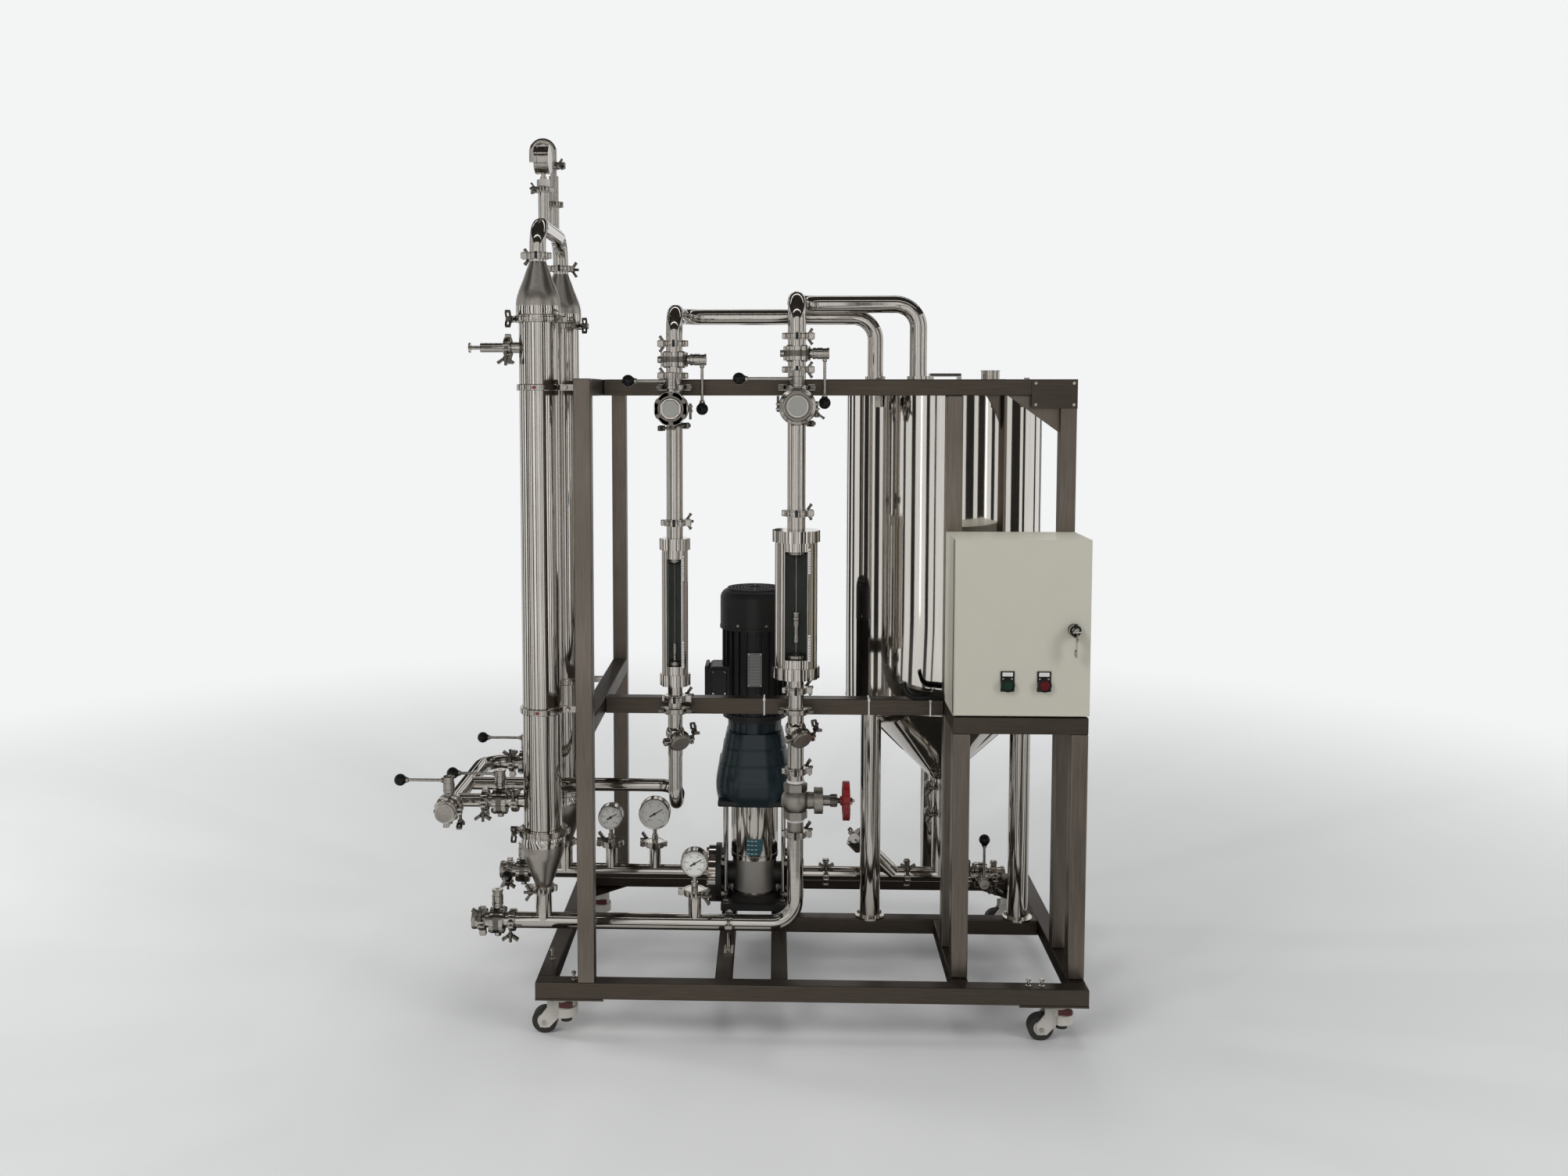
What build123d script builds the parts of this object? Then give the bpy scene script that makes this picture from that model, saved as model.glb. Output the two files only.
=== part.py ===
# Membrane filtration unit: a welded stainless frame on levelling casters carries two membrane
# columns, their pipework with flow meters and valves, a multistage pump, a cone-bottomed feed
# tank and a control cabinet.
# Millimetres, +Z up, +X to the right of someone facing the unit, +Y away from them.
# While building, X = 0 is the left face of the base, Y = 0 its front face and Z = 0 the floor.
# At the end everything moves so that the origin is the middle of the footprint, on the floor.
import os
from math import cos, radians, sin, sqrt, tan

from build123d import *

# Frame
tube = 38.0
frame_width = 1240.0
frame_depth = 748.0
frame_height = 1494.0
rail_underside = 100.0
corner_plate = 4.0
corner_leg = 155.0
left_post_inset = 97.0
middle_plane_y = 230.0
middle_rail_top = 738.0
table_width = 301.0
table_setback = 55.0
cover_plate = 3.0
cover_plate_width = 106.0
cover_plate_height = 68.0
brace_wide = 120.0
brace_tall = 86.0
pump_rail_gap = 89.0

# Lines of pipework: front plane, rear plane, and their heights
front_plane = 190.0
rear_plane = 530.0
header_height = 208.0
manifold_height = 498.0
pipe_d = 38.0
branch_d = 32.0
large_pipe_d = 42.0
bend_radius = 57.0
clamp_d = 52.0
clamp_thick = 14.0
lug_size = 16.0
joint_gap = 0.3

# Membrane columns
column_x = -10.0
column_d = 90.0
column_low = 426.0
column_high = 1632.0
column_clamp_d = 116.0
neck_low = 287.0
neck_high = 1778.0
reducer_profile = ((0, 92.0), (7, 99.0), (36, 101.0), (55, 94.0), (74, 80.0), (109, 54.0), (132, pipe_d))
bend_height = 1852.0
ring_low = 719.0
ring_high = 1475.0
ring_wall = 4.0
ring_tall = 14.0

# Butterfly valves and their levers
valve_body_d = 62.0
valve_body_long = 32.0
neck_d = 18.0
neck_long = 5.0
hub_d = 27.0
hub_long = 38.0
rod_d = 7.0
lever_long = 114.0
arm_drop = 10.0
left_branch_lever_long = 97.0
right_branch_lever_long = 131.0
branch_arm_drop = 19.0
knob_d = 28.0

# Header ends and manifold
end_valve_x = -121.0
port_valve_x = -111.0
manifold_x = -220.0
outlet_valve_y = 130.0
permeate_y = 330.0
permeate_drop = 22.0

# Risers
left_riser_x = 305.0
right_riser_x = 588.0
left_over_y = 450.0
right_over_y = 400.0
left_over_height = 1650.0
right_over_height = 1678.0
left_valve_drop = 111.0
right_valve_drop = 125.0
left_branch_drop = 223.0
right_branch_drop = 246.0
riser_foot_rise = 112.0
saddle_tall = 14.0
branch_valve_y = 92.0
branch_body_d = 76.0

# Flow meters
small_meter_d = 61.0
small_nut_d = 72.0
small_window = 33.0
small_scallops = 8
large_meter_d = 99.0
large_nut_d = 111.0
large_window = 53.0
large_scallops = 10
scallop_r = 24.0
scallop_deep = 2.6
meter_low = 806.0
meter_high = 1098.0
large_meter_low = 826.0
large_meter_high = 1118.0
nut_tall = 27.0
window_margin = 20.0
window_deep = 3.0

# Globe valve
globe_z = 505.0
riser_joint_drop = 80.0
wheel_x = 707.0
wheel_d = 92.0
wheel_scallops = 6
wheel_thick = 16.0
bonnet_d = 62.0

# Pump
pump_x = 487.0
port_rise = 72.0
flange_d = 150.0
flange_thick = 18.0
pump_base_w = 171.0
pump_base_tall = 24.0
sleeve_d = 121.0
chamber_d = 113.0
chamber_tall = 96.0
port_neck_d = 58.0
stage_top = 410.0
hood_top = 628.0
motor_top = 960.0
motor_d = 172.0
tie_rod_d = 11.0
cowl_tall = 100.0
terminal_box_x = 368.0
support_x = 431.0

# Tank
tank_from_right = 273.0
tank_d = 490.0
tank_wall = 2.0
tank_low = 686.0
tank_high = 1488.0
outlet_height = 467.0
strainer_cap_d = 60.0
leg_circle = 215.0
leg_d = 51.0
lid_thick = 3.0
lid_dome = 4.0
stub_tall = 22.0
stub_offset = 117.0
left_down_offset = 180.0
right_down_offset = 79.0
drain_offset = 108.0
suction_end_offset = 185.0
stub_d = 45.0
stub_bore = 39.0

# Control cabinet
cabinet_width = 300.0
cabinet_height = 400.0
cabinet_depth = 180.0
cabinet_wall = 1.5
door_thick = 20.0
door_clearance = 5.5
button_d = 22.0
bezel_d = 29.0
lock_d = 28.0
start_inset = 117.5
stop_inset = 198.5
lock_inset = 263.5

# Casters
swivel_inset = 56.0
wheel_r = 29.0
wheel_wide = 26.0
trail = 42.0
wheel_gap = 6.0
fork_wall = 5.0
fork_gap = 2.0
drum_d = 56.0
skirt_low = 43.0
foot_d = 24.0

# Worked out from the values above
half = tube / 2
rail_top = rail_underside + tube
middle_back = middle_plane_y + tube
table_x = frame_width - table_width
cross_rail_y = rear_plane - leg_circle / 2
left_pump_rail_x = pump_x - pump_rail_gap / 2 - tube
right_pump_rail_x = pump_x + pump_rail_gap / 2
port_height = rail_top + port_rise
tank_x = frame_width - tank_from_right
left_down_x = tank_x - left_down_offset
right_down_x = tank_x - right_down_offset
stub_x = tank_x + stub_offset
drain_valve_x = tank_x + drain_offset
suction_end_x = tank_x + suction_end_offset
cabinet_left = frame_width - (table_width + cabinet_width) / 2
start_x = cabinet_left + start_inset
stop_x = cabinet_left + stop_inset
lock_x = cabinet_left + lock_inset
left_valve_z = left_over_height - left_valve_drop
right_valve_z = right_over_height - right_valve_drop
left_branch_z = left_over_height - left_branch_drop
right_branch_z = right_over_height - right_branch_drop
riser_foot = manifold_height + riser_foot_rise
down = Vector(0, 0, -1)
up = Vector(0, 0, 1)
right = Vector(1, 0, 0)
left = Vector(-1, 0, 0)
back = Vector(0, 1, 0)
front = Vector(0, -1, 0)


def at(point, axis):
    """A work plane whose normal is the axis."""
    return Plane(origin=Vector(*point), z_dir=Vector(*axis))


def bar(x0, x1, y0, y1, z0, z1):
    """A straight length of square tube or any other block, by its limits."""
    return Pos((x0 + x1) / 2, (y0 + y1) / 2, (z0 + z1) / 2) * Box(x1 - x0, y1 - y0, z1 - z0)


def rod(point, axis, length, diameter):
    return Solid.make_cylinder(diameter / 2, length, at(point, axis))


def taper(point, axis, length, start_d, end_d):
    return Solid.make_cone(start_d / 2, end_d / 2, length, at(point, axis))


def along(point, axis, distance):
    return Vector(*point) + Vector(*axis) * distance


def pipe(points, diameter, radius=bend_radius):
    """A pipe run through the given corners, bent to one radius."""
    if len(points) == 2:
        start = Vector(*points[0])
        run = Vector(*points[1]) - start
        return rod(start, run.normalized(), run.length, diameter)
    path = FilletPolyline(*[Vector(*p) for p in points], radius=radius)
    section = at(path @ 0, path % 0) * Circle(diameter / 2)
    return sweep(section, path=path)


def fuse(*pieces):
    """All the pieces welded into one."""
    body = pieces[0]
    for piece in pieces[1:]:
        body = body + piece
    return body


def clamp(point, axis, lug_side, diameter=clamp_d, thick=clamp_thick):
    """A sanitary clamp round a joint, with its bolt lug on one side."""
    ring = rod(along(point, axis, -thick / 2), axis, thick, diameter)
    lug_centre = along(point, lug_side, diameter / 2 + lug_size / 4)
    plane = Plane(origin=lug_centre, x_dir=Vector(*lug_side), z_dir=Vector(*axis))
    lug = plane * Box(lug_size, lug_size * 0.8, thick)
    return ring + lug


def valve_body(point, axis, stem, diameter=valve_body_d):
    """A butterfly valve's body on the line, with the neck that its lever sits on."""
    centre = Vector(*point)
    body = rod(along(centre, axis, -valve_body_long / 2), axis, valve_body_long, diameter)
    neck = rod(centre, stem, diameter / 2 + neck_long, neck_d)
    return body + neck


def lever(point, stem, reach, diameter, length, arm_drop):
    """A valve's turning hub with its rod and ball knob."""
    foot = along(point, stem, diameter / 2 + neck_long + joint_gap)
    hub_plane = Plane(foot, x_dir=stem.cross(reach), z_dir=stem)
    hub = Solid.make_cylinder(hub_d / 2, hub_long, hub_plane)
    arm_start = along(foot, stem, hub_long - arm_drop)
    arm = rod(arm_start, reach, length, rod_d)
    knob = Plane(along(arm_start, reach, length), x_dir=reach, z_dir=stem) * Sphere(knob_d / 2)
    return fuse(hub, arm, knob)


def gauge(point, stem, face, diameter, stem_long, thick=30.0):
    """A dial gauge on its stem."""
    centre = along(point, stem, stem_long + diameter / 2)
    case = rod(along(centre, face, -thick / 2), face, thick, diameter)
    adapter = rod(point, stem, stem_long * 0.5, 16.0)
    stalk = rod(point, stem, stem_long + 4, 11.0)
    return fuse(case, adapter, stalk)


# Frame

def base_long_rails():
    rails = []
    for y in (0, frame_depth - tube):
        rails.append(bar(0, frame_width, y, y + tube, rail_underside, rail_top))
    return rails


def base_depth_rails():
    rails = []
    for x in (0, left_pump_rail_x, right_pump_rail_x, frame_width - tube):
        rails.append(bar(x, x + tube, tube, frame_depth - tube, rail_underside, rail_top))
    return rails


def base_cross_rails():
    start = right_pump_rail_x + tube
    cross = bar(start, frame_width - tube, cross_rail_y - half, cross_rail_y + half,
                rail_underside, rail_top)
    stub = bar(table_x, table_x + tube, tube, cross_rail_y - half, rail_underside, rail_top)
    return [cross + stub]


def corner_plates():
    plates = []
    for x, sx in ((0, 1), (frame_width, -1)):
        for y, sy in ((0, 1), (frame_depth, -1)):
            outline = Polyline((x, y), (x + sx * corner_leg, y), (x, y + sy * corner_leg), close=True)
            plate = Pos(0, 0, rail_underside) * make_face(outline)
            plates.append(extrude(plate, -corner_plate, dir=(0, 0, 1)))
    return plates


def left_posts():
    x = left_post_inset
    return [bar(x, x + tube, y, y + tube, rail_top, frame_height) for y in (0, frame_depth - tube)]


def left_rails():
    x = left_post_inset
    rails = []
    for top in (middle_rail_top, frame_height):
        rails.append(bar(x, x + tube, tube, frame_depth - tube, top - tube, top))
    return rails


def cross_rails():
    x0 = left_post_inset + tube
    middle = bar(x0, table_x, middle_plane_y, middle_back, middle_rail_top - tube, middle_rail_top)
    top = bar(x0, frame_width, middle_plane_y, middle_back, frame_height - tube, frame_height)
    cover = bar(frame_width - cover_plate_width, frame_width, middle_plane_y - cover_plate, middle_plane_y,
                frame_height - cover_plate_height, frame_height)
    return [middle, top + cover]


def table_posts():
    posts = []
    for x in (table_x, frame_width - tube):
        posts.append(bar(x, x + tube, table_setback, table_setback + tube,
                         rail_top, middle_rail_top - tube))
        posts.append(bar(x, x + tube, middle_plane_y, middle_back, rail_top, frame_height - tube))
    corner = Vector(frame_width - tube, middle_plane_y + half, frame_height - tube)
    brace_plate = Polyline((corner.X, corner.Z), (corner.X - brace_wide, corner.Z),
                           (corner.X, corner.Z - brace_tall), close=True)
    brace = extrude(Plane.XZ.offset(-corner.Y) * make_face(brace_plate), 2, both=True)
    posts[-1] = posts[-1] + brace
    return posts


def table_top():
    z0 = middle_rail_top - tube
    front_rail = bar(table_x, frame_width, table_setback, table_setback + tube, z0, middle_rail_top)
    sides = [bar(x, x + tube, table_setback + tube, middle_plane_y, z0, middle_rail_top)
             for x in (table_x, frame_width - tube)]
    rear_rail = bar(table_x + tube, frame_width - tube, middle_plane_y, middle_back, z0, middle_rail_top)
    return [fuse(front_rail, *sides), rear_rail]


# Membrane columns

def reducer():
    """The bell-shaped end of a housing, from its joint up to its neck."""
    curve = Spline(*[(d / 2, rise) for rise, d in reducer_profile])
    closing = Polyline(curve @ 1, (0, reducer_profile[-1][0]), (0, 0), curve @ 0)
    return revolve(Plane.XZ * make_face(curve + closing), Axis.Z)


def column(y, port, high_lug, *extra):
    """One membrane housing with its cones, clamps and permeate port."""
    axis_x = column_x
    body = rod((axis_x, y, column_low), up, column_high - column_low, column_d)
    upper = Pos(axis_x, y, column_high) * reducer()
    upper_neck = rod((axis_x, y, column_high + 100), up, neck_high - column_high - 100, pipe_d)
    lower = Pos(axis_x, y, column_low) * Rot(180, 0, 0) * reducer()
    lower_neck = rod((axis_x, y, column_low - 100), down, column_low - 100 - neck_low, pipe_d)
    joints = [clamp((axis_x, y, z), up, lug, column_clamp_d)
              for z, lug in ((column_low, left), (column_high, high_lug))]
    joints += [clamp((axis_x, y, z), up, left) for z in (neck_low, neck_high)]
    side = pipe([(axis_x, y, manifold_height), (port, y, manifold_height)], branch_d)
    return fuse(body, upper, upper_neck, lower, lower_neck, *joints, side, *extra)


def column_brackets():
    """Rings round the columns, each with an arm to the left side rails."""
    rings = []
    inner = column_d + 2 * joint_gap
    reach = left_post_inset - column_x
    for y in (front_plane, rear_plane):
        for z in (ring_low, ring_high):
            outside = rod((column_x, y, z - ring_tall / 2), up, ring_tall, inner + 2 * ring_wall)
            arm = bar(column_x + inner / 2, column_x + reach, y - 6, y + 6,
                      z - ring_tall / 2, z + ring_tall / 2)
            hole = rod((column_x, y, z - ring_tall), up, 2 * ring_tall, inner)
            rings.append(outside + arm - hole)
    return rings


def column_bend():
    """The bend over the column tops, with its two stubs."""
    start = neck_high + clamp_thick / 2 + joint_gap
    run = pipe([(column_x, front_plane, start), (column_x, front_plane, bend_height),
                (column_x, rear_plane, bend_height), (column_x, rear_plane, start)], pipe_d)
    stubs = [rod((column_x, y, bend_height), up, z - bend_height, 26.0)
             for y, z in ((gauge_stub_y, gauge_stub_top), (vent_stub_y, vent_stub_top))]
    joints = [clamp((column_x, y, z - clamp_thick / 2), up, left, 34.0)
              for y, z in ((gauge_stub_y, gauge_stub_top), (vent_stub_y, vent_stub_top))]
    return [fuse(run, *stubs, *joints)]


def bend_fittings():
    """The gauge and the vent line on top of the bend."""
    gauge_base = Vector(column_x, gauge_stub_y, gauge_stub_top)
    hexagon = extrude(Pos(*gauge_base) * RegularPolygon(16, 6), 16)
    dial = gauge(along(gauge_base, up, 16), up, left, 66.0, 14.0, 32.0)
    vent_base = (column_x, vent_stub_y, vent_stub_top)
    check_valve = rod(vent_base, up, 62, 24.0)
    upper_joint = clamp((column_x, vent_stub_y, vent_stub_top + 88), up, right, 34.0)
    swan = pipe([(column_x, vent_stub_y, vent_stub_top + 60), (column_x, vent_stub_y, vent_top),
                 (column_x - vent_reach, vent_stub_y, vent_top),
                 (column_x - vent_reach, vent_stub_y, vent_top - 50)], 16.0, vent_reach / 2 - 0.5)
    return [hexagon + dial, fuse(check_valve, upper_joint, swan)]


gauge_stub_y = 280.0
gauge_stub_top = 1948.0
vent_stub_y = 430.0
vent_stub_top = 1933.0
vent_top = 2080.0
vent_reach = 52.0


def side_port():
    """The small sampling port high on the front column."""
    z = 1567.0
    x = column_x - column_d / 2
    stub = pipe([(x + 5, front_plane, z), (x - 20, front_plane, z)], 26.0)
    joint = clamp((x - 26, front_plane, z), right, down, 50.0)
    barrel = pipe([(x - 30, front_plane, z), (x - 90, front_plane, z)], 22.0)
    spout = pipe([(x - 88, front_plane, z), (x - 115, front_plane, z)], 9.0)
    lip = rod((x - 117, front_plane, z), right, 4, 24.0)
    return fuse(stub, joint, barrel, spout, lip)


# Headers and manifold

def header_end(y, z):
    """The capped valve at the left end of a header."""
    valve = valve_body((end_valve_x, y, z), right, up)
    joints = [clamp((end_valve_x + side * 36, y, z), right, lug) for side, lug in ((-1, down), (1, back))]
    ferrule = rod((end_valve_x - 50, y, z), right, 50, pipe_d)
    cap = rod((end_valve_x - 60, y, z), right, 24, 44.0)
    return [valve, *joints, ferrule, cap]


def gauge_stub(x, y, z):
    stub = rod((x, y, z), up, 68, 30.0)
    joint = clamp((x, y, z + 74), up, left)
    return [stub, joint]


def front_header():
    z = header_height
    run = pipe([(end_valve_x, front_plane, z), (right_riser_x, front_plane, z),
                (right_riser_x, front_plane, globe_z - riser_joint_drop)], pipe_d)
    column_stub = rod((column_x, front_plane, z), up, neck_low - clamp_thick / 2 - joint_gap - z, pipe_d)
    riser_joint = clamp((right_riser_x, front_plane, globe_z - riser_joint_drop), up, right)
    return [fuse(run, column_stub, riser_joint, *header_end(front_plane, z),
                 *gauge_stub(350, front_plane, z))]


def rear_header():
    z = port_height
    flange_x = pump_x - pump_port_reach - flange_thick
    run = pipe([(end_valve_x, rear_plane, z), (flange_x + 2, rear_plane, z)], pipe_d)
    column_stub = rod((column_x, rear_plane, z), up, neck_low - clamp_thick / 2 - joint_gap - z, pipe_d)
    flange = rod((flange_x, rear_plane, z), right, flange_thick, flange_d)
    gauges = [*gauge_stub(111, rear_plane, z), *gauge_stub(226, rear_plane, z)]
    return [fuse(run, column_stub, flange, *header_end(rear_plane, z), *gauges)]


pump_port_reach = 100.0


def header_gauges():
    top = 74 + clamp_thick / 2
    return [gauge((350, front_plane, header_height + top), up, front, 63.0, 34.0),
            gauge((111, rear_plane, port_height + top), up, front, 63.0, 34.0),
            gauge((226, rear_plane, port_height + top), up, front, 80.0, 36.0)]


def manifold():
    """The permeate collector on the left: valves to both columns and an outlet valve."""
    z = manifold_height
    port_end = port_valve_x + 36 + clamp_thick / 2
    run = [(manifold_x, outlet_valve_y, z), (manifold_x, rear_plane, z), (port_end, rear_plane, z)]
    pieces = [pipe(run, pipe_d),
              pipe([(manifold_x, front_plane, z), (port_end, front_plane, z)], branch_d),
              valve_body((manifold_x, outlet_valve_y, z), back, up)]
    for y in (front_plane, rear_plane):
        pieces.append(valve_body((port_valve_x, y, z), right, up))
        pieces += [clamp((port_valve_x + side * 36, y, z), right, lug)
                   for side, lug in ((-1, down), (1, back))]
    pieces.append(clamp((manifold_x, outlet_valve_y - 27, z), back, down))
    pieces.append(rod((manifold_x, outlet_valve_y, z), front, 30, pipe_d))
    pieces.append(rod((manifold_x, outlet_valve_y - 30, z), front, 22, 44.0))
    tee_end = manifold_x + pipe_d / 2 + 20
    pieces.append(pipe([(manifold_x, permeate_y, z), (tee_end, permeate_y, z)], branch_d))
    return [fuse(*pieces)]


def permeate_pipe():
    start = manifold_x + pipe_d / 2 + 20
    z = manifold_height
    return [pipe([(start, permeate_y, z), (left_riser_x, permeate_y, z),
                  (left_riser_x, front_plane, z - permeate_drop),
                  (left_riser_x, front_plane, riser_foot)], branch_d, bend_radius - 5)]


# Risers

def y_branch(x, z, diameter):
    """The sloping clamped and capped branch on a riser."""
    centre = Vector(x, front_plane, z)
    slope = Vector(0.38, -0.78, -0.5).normalized()
    ball = Pos(x, front_plane, z) * Sphere(diameter * 0.66)
    arm = rod(centre, slope, diameter, diameter)
    ring = clamp(along(centre, slope, diameter * 0.8), slope, slope.cross(up).normalized(), clamp_d, 12)
    cap = rod(along(centre, slope, diameter * 0.8), slope, 11, 44.0)
    return fuse(ball, arm, ring, cap)


def branch_valve(x, z, diameter):
    """A capped valve that faces the front of the unit on a tee."""
    centre = (x, branch_valve_y, z)
    tee = rod((x, front_plane, z), front, front_plane - branch_valve_y, pipe_d)
    body = valve_body(centre, back, up, diameter)
    inner = clamp((x, branch_valve_y + 30, z), back, right, diameter - 12)
    cap = rod((x, branch_valve_y - 12, z), front, 14, 46.0)
    return fuse(tee, body, inner, cap)


def left_riser():
    x = left_riser_x
    y = front_plane
    low = fuse(rod((x, y, riser_foot), up, meter_low - nut_tall - riser_foot, branch_d + 2),
               clamp((x, y, meter_low - 59), up, right), y_branch(x, riser_foot + 54, branch_d + 2))
    start = meter_high + nut_tall
    run = [(x, y, start), (x, y, left_over_height), (x, left_over_y, left_over_height),
           (left_down_x, left_over_y, left_over_height), (left_down_x, left_over_y, tank_top)]
    high = fuse(pipe(run, pipe_d),
                clamp((x, y, meter_high + 63), up, right),
                clamp((x, y, left_valve_z - 37), up, left),
                valve_body((x, y, left_valve_z), up, right), clamp((x, y, left_valve_z + 37), up, left),
                branch_valve(x, left_branch_z, branch_body_d),
                rod((left_down_x, left_over_y, tank_top), up, 8, 50.0))
    return [low, high]


def right_riser():
    x = right_riser_x
    y = front_plane
    low = fuse(rod((x, y, globe_z + 42), up, large_meter_low - nut_tall - globe_z - 42, pipe_d),
               clamp((x, y, large_meter_low - 58), up, right), clamp((x, y, globe_z + 71), up, right),
               y_branch(x, globe_z + 170, pipe_d))
    start = large_meter_high + nut_tall
    run = [(x, y, start), (x, y, right_over_height), (x, right_over_y, right_over_height),
           (right_down_x, right_over_y, right_over_height), (right_down_x, right_over_y, tank_top)]
    high = fuse(pipe(run, large_pipe_d),
                clamp((x, y, large_meter_high + 66), up, right, 56.0),
                clamp((x, y, right_valve_z - 37), up, right, 56.0),
                valve_body((x, y, right_valve_z), up, right),
                clamp((x, y, right_valve_z + 40), up, right, 56.0),
                branch_valve(x, right_branch_z, branch_body_d),
                rod((right_down_x, right_over_y, tank_top), up, 8, 54.0))
    return [low, high]


def saddle(x, z, size):
    """A block and ring that hold an upright pipe to a rail."""
    low = z - saddle_tall / 2
    block = bar(x - size, x + size, front_plane, middle_plane_y, low, low + saddle_tall)
    ring = rod((x, front_plane, low), up, saddle_tall, size + 10)
    return block + ring - rod((x, front_plane, low - 1), up, saddle_tall + 2, size + 2 * joint_gap)


def riser_brackets():
    """Saddles that hold the risers to the middle and top rails."""
    middle = middle_rail_top - half
    top = frame_height - half
    return [saddle(left_riser_x, middle, branch_d + 2), saddle(left_riser_x, top, pipe_d),
            saddle(right_riser_x, middle, pipe_d), saddle(right_riser_x, top, large_pipe_d)]


def header_support():
    """The ring on a stud that carries the front header from the left pump rail."""
    bore = pipe_d + 2 * joint_gap
    ring = rod((support_x - 8, front_plane, header_height), right, 16, bore + 8)
    ears = bar(support_x - 8, support_x + 8, front_plane - bore / 2 - 15, front_plane + bore / 2 + 15,
               header_height - 4, header_height + 4)
    stud = rod((support_x, front_plane, rail_top), up, header_height - rail_top, 12.0)
    foot = bar(support_x - 11, support_x + 11, front_plane - 24, front_plane + 24, rail_top, rail_top + 5)
    hole = rod((support_x - 10, front_plane, header_height), right, 20, bore)
    return [fuse(ring, ears, stud, foot) - hole]


def scalloped_nut(x, z, nut_d, scallops):
    """A round nut with hollows for its spanner all round."""
    outline = Circle(nut_d / 2)
    for i in range(scallops):
        turn = radians(360 / scallops * (i + 0.5))
        away = nut_d / 2 + scallop_r - scallop_deep
        outline -= Pos(away * cos(turn), away * sin(turn)) * Circle(scallop_r)
    return extrude(Pos(x, front_plane, z) * outline, nut_tall)


def flow_meter(x, low, high, body_d, nut_d, window_w, scallops):
    """A flow meter: a steel case with a long window between two scalloped nuts."""
    y = front_plane
    case = rod((x, y, low), up, high - low, body_d)
    front_y = y - body_d / 2
    recess = bar(x - window_w / 2, x + window_w / 2, front_y - 1, y,
                 low + window_margin, high - window_margin)
    nuts = [scalloped_nut(x, z, nut_d, scallops) for z in (low - nut_tall, high)]
    return fuse(case - recess, *nuts)


def meter_glass(x, low, high, body_d, window_w):
    y = front_plane
    half_chord = window_w / 2 - joint_gap
    depth = sqrt((body_d / 2) ** 2 - (window_w / 2) ** 2) - window_deep
    return bar(x - half_chord, x + half_chord, y - depth, y - joint_gap, low + window_margin + joint_gap,
               high - window_margin - joint_gap)


def small_meter():
    return [flow_meter(left_riser_x, meter_low, meter_high, small_meter_d, small_nut_d, small_window,
                       small_scallops)]


def large_meter():
    return [flow_meter(right_riser_x, large_meter_low, large_meter_high, large_meter_d, large_nut_d,
                       large_window, large_scallops)]


def meter_windows():
    return [meter_glass(left_riser_x, meter_low, meter_high, small_meter_d, small_window),
            meter_glass(right_riser_x, large_meter_low, large_meter_high, large_meter_d, large_window)]


def globe_valve():
    """The regulating valve: a round body with hexagon ends and a bonnet to the right."""
    x = right_riser_x
    y = front_plane
    body = Pos(x, y, globe_z) * Sphere(34)
    ends = [extrude(Pos(x, y, z) * RegularPolygon(28, 6), 18) for z in (globe_z - 42, globe_z + 24)]
    tail_low = globe_z - riser_joint_drop + clamp_thick / 2 + joint_gap
    tail = rod((x, y, tail_low), up, globe_z - 38 - tail_low, pipe_d)
    neck = rod((x, y, globe_z), right, 46, 38.0)
    bonnet = rod((x + 44, y, globe_z), right, 20, bonnet_d)
    gland = rod((x + 60, y, globe_z), right, 24, 24.0)
    nut_plane = Plane(Vector(x + 82, y, globe_z), x_dir=back, z_dir=right)
    gland_nut = extrude(nut_plane * RegularPolygon(15, 6), 16)
    stem = rod((x, y, globe_z), right, wheel_x - 14 - joint_gap - x, 12.0)
    return [fuse(body, *ends, tail, neck, bonnet, gland, gland_nut, stem)]


def handwheel():
    """The regulating valve's handwheel: a scalloped rim, spokes and hub."""
    centre = Vector(wheel_x, front_plane, globe_z)
    plane = at(centre, right)
    rim_r = wheel_d / 2
    profile = Circle(rim_r) - Circle(rim_r - 12)
    for i in range(wheel_scallops):
        turn = radians(360 / wheel_scallops * (i + 0.5))
        profile -= Pos((rim_r + 9) * cos(turn), (rim_r + 9) * sin(turn)) * Circle(13)
    rim = extrude(plane * profile, wheel_thick / 2, both=True)
    spoke = Rectangle(2 * rim_r - 14, 9)
    spokes = [extrude(plane * (Rot(0, 0, 60 * i) * spoke), 3.5, both=True) for i in range(3)]
    hub = rod(along(centre, left, 14), right, 22, 22.0)
    return [fuse(rim, *spokes, hub)]


# Pump

def pump_base():
    z = rail_top
    half_w = pump_base_w / 2
    plate = bar(pump_x - half_w, pump_x + half_w, rear_plane - half_w, rear_plane + half_w,
                z, z + pump_base_tall - 8)
    boss = taper((pump_x, rear_plane, z + pump_base_tall - 8), up, 14, 150, 124)
    bore = rod((pump_x, rear_plane, z + pump_base_tall), up, chamber_tall, chamber_d + 2 * joint_gap)
    ports = []
    for inward, x in ((right, pump_x - pump_port_reach), (left, pump_x + pump_port_reach)):
        neck = rod((x, rear_plane, port_height), inward, pump_port_reach, port_neck_d)
        ports.append(neck + rod((x, rear_plane, port_height), inward, 14, flange_d) - bore)
    return [plate + boss, *ports]


def pump_stages():
    foot = rail_top + pump_base_tall + 6
    low = rail_top + pump_base_tall + chamber_tall
    chamber = rod((pump_x, rear_plane, foot), up, low - foot, chamber_d)
    sleeve = rod((pump_x, rear_plane, low), up, stage_top - low, sleeve_d)
    rods = []
    for sx in (-1, 1):
        for sy in (-1, 1):
            rods.append(rod((pump_x + sx * 75, rear_plane + sy * 40, rail_top + pump_base_tall - 8), up,
                            stage_top - rail_top - pump_base_tall + 8, tie_rod_d))
    return [chamber + sleeve, *rods]


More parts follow.
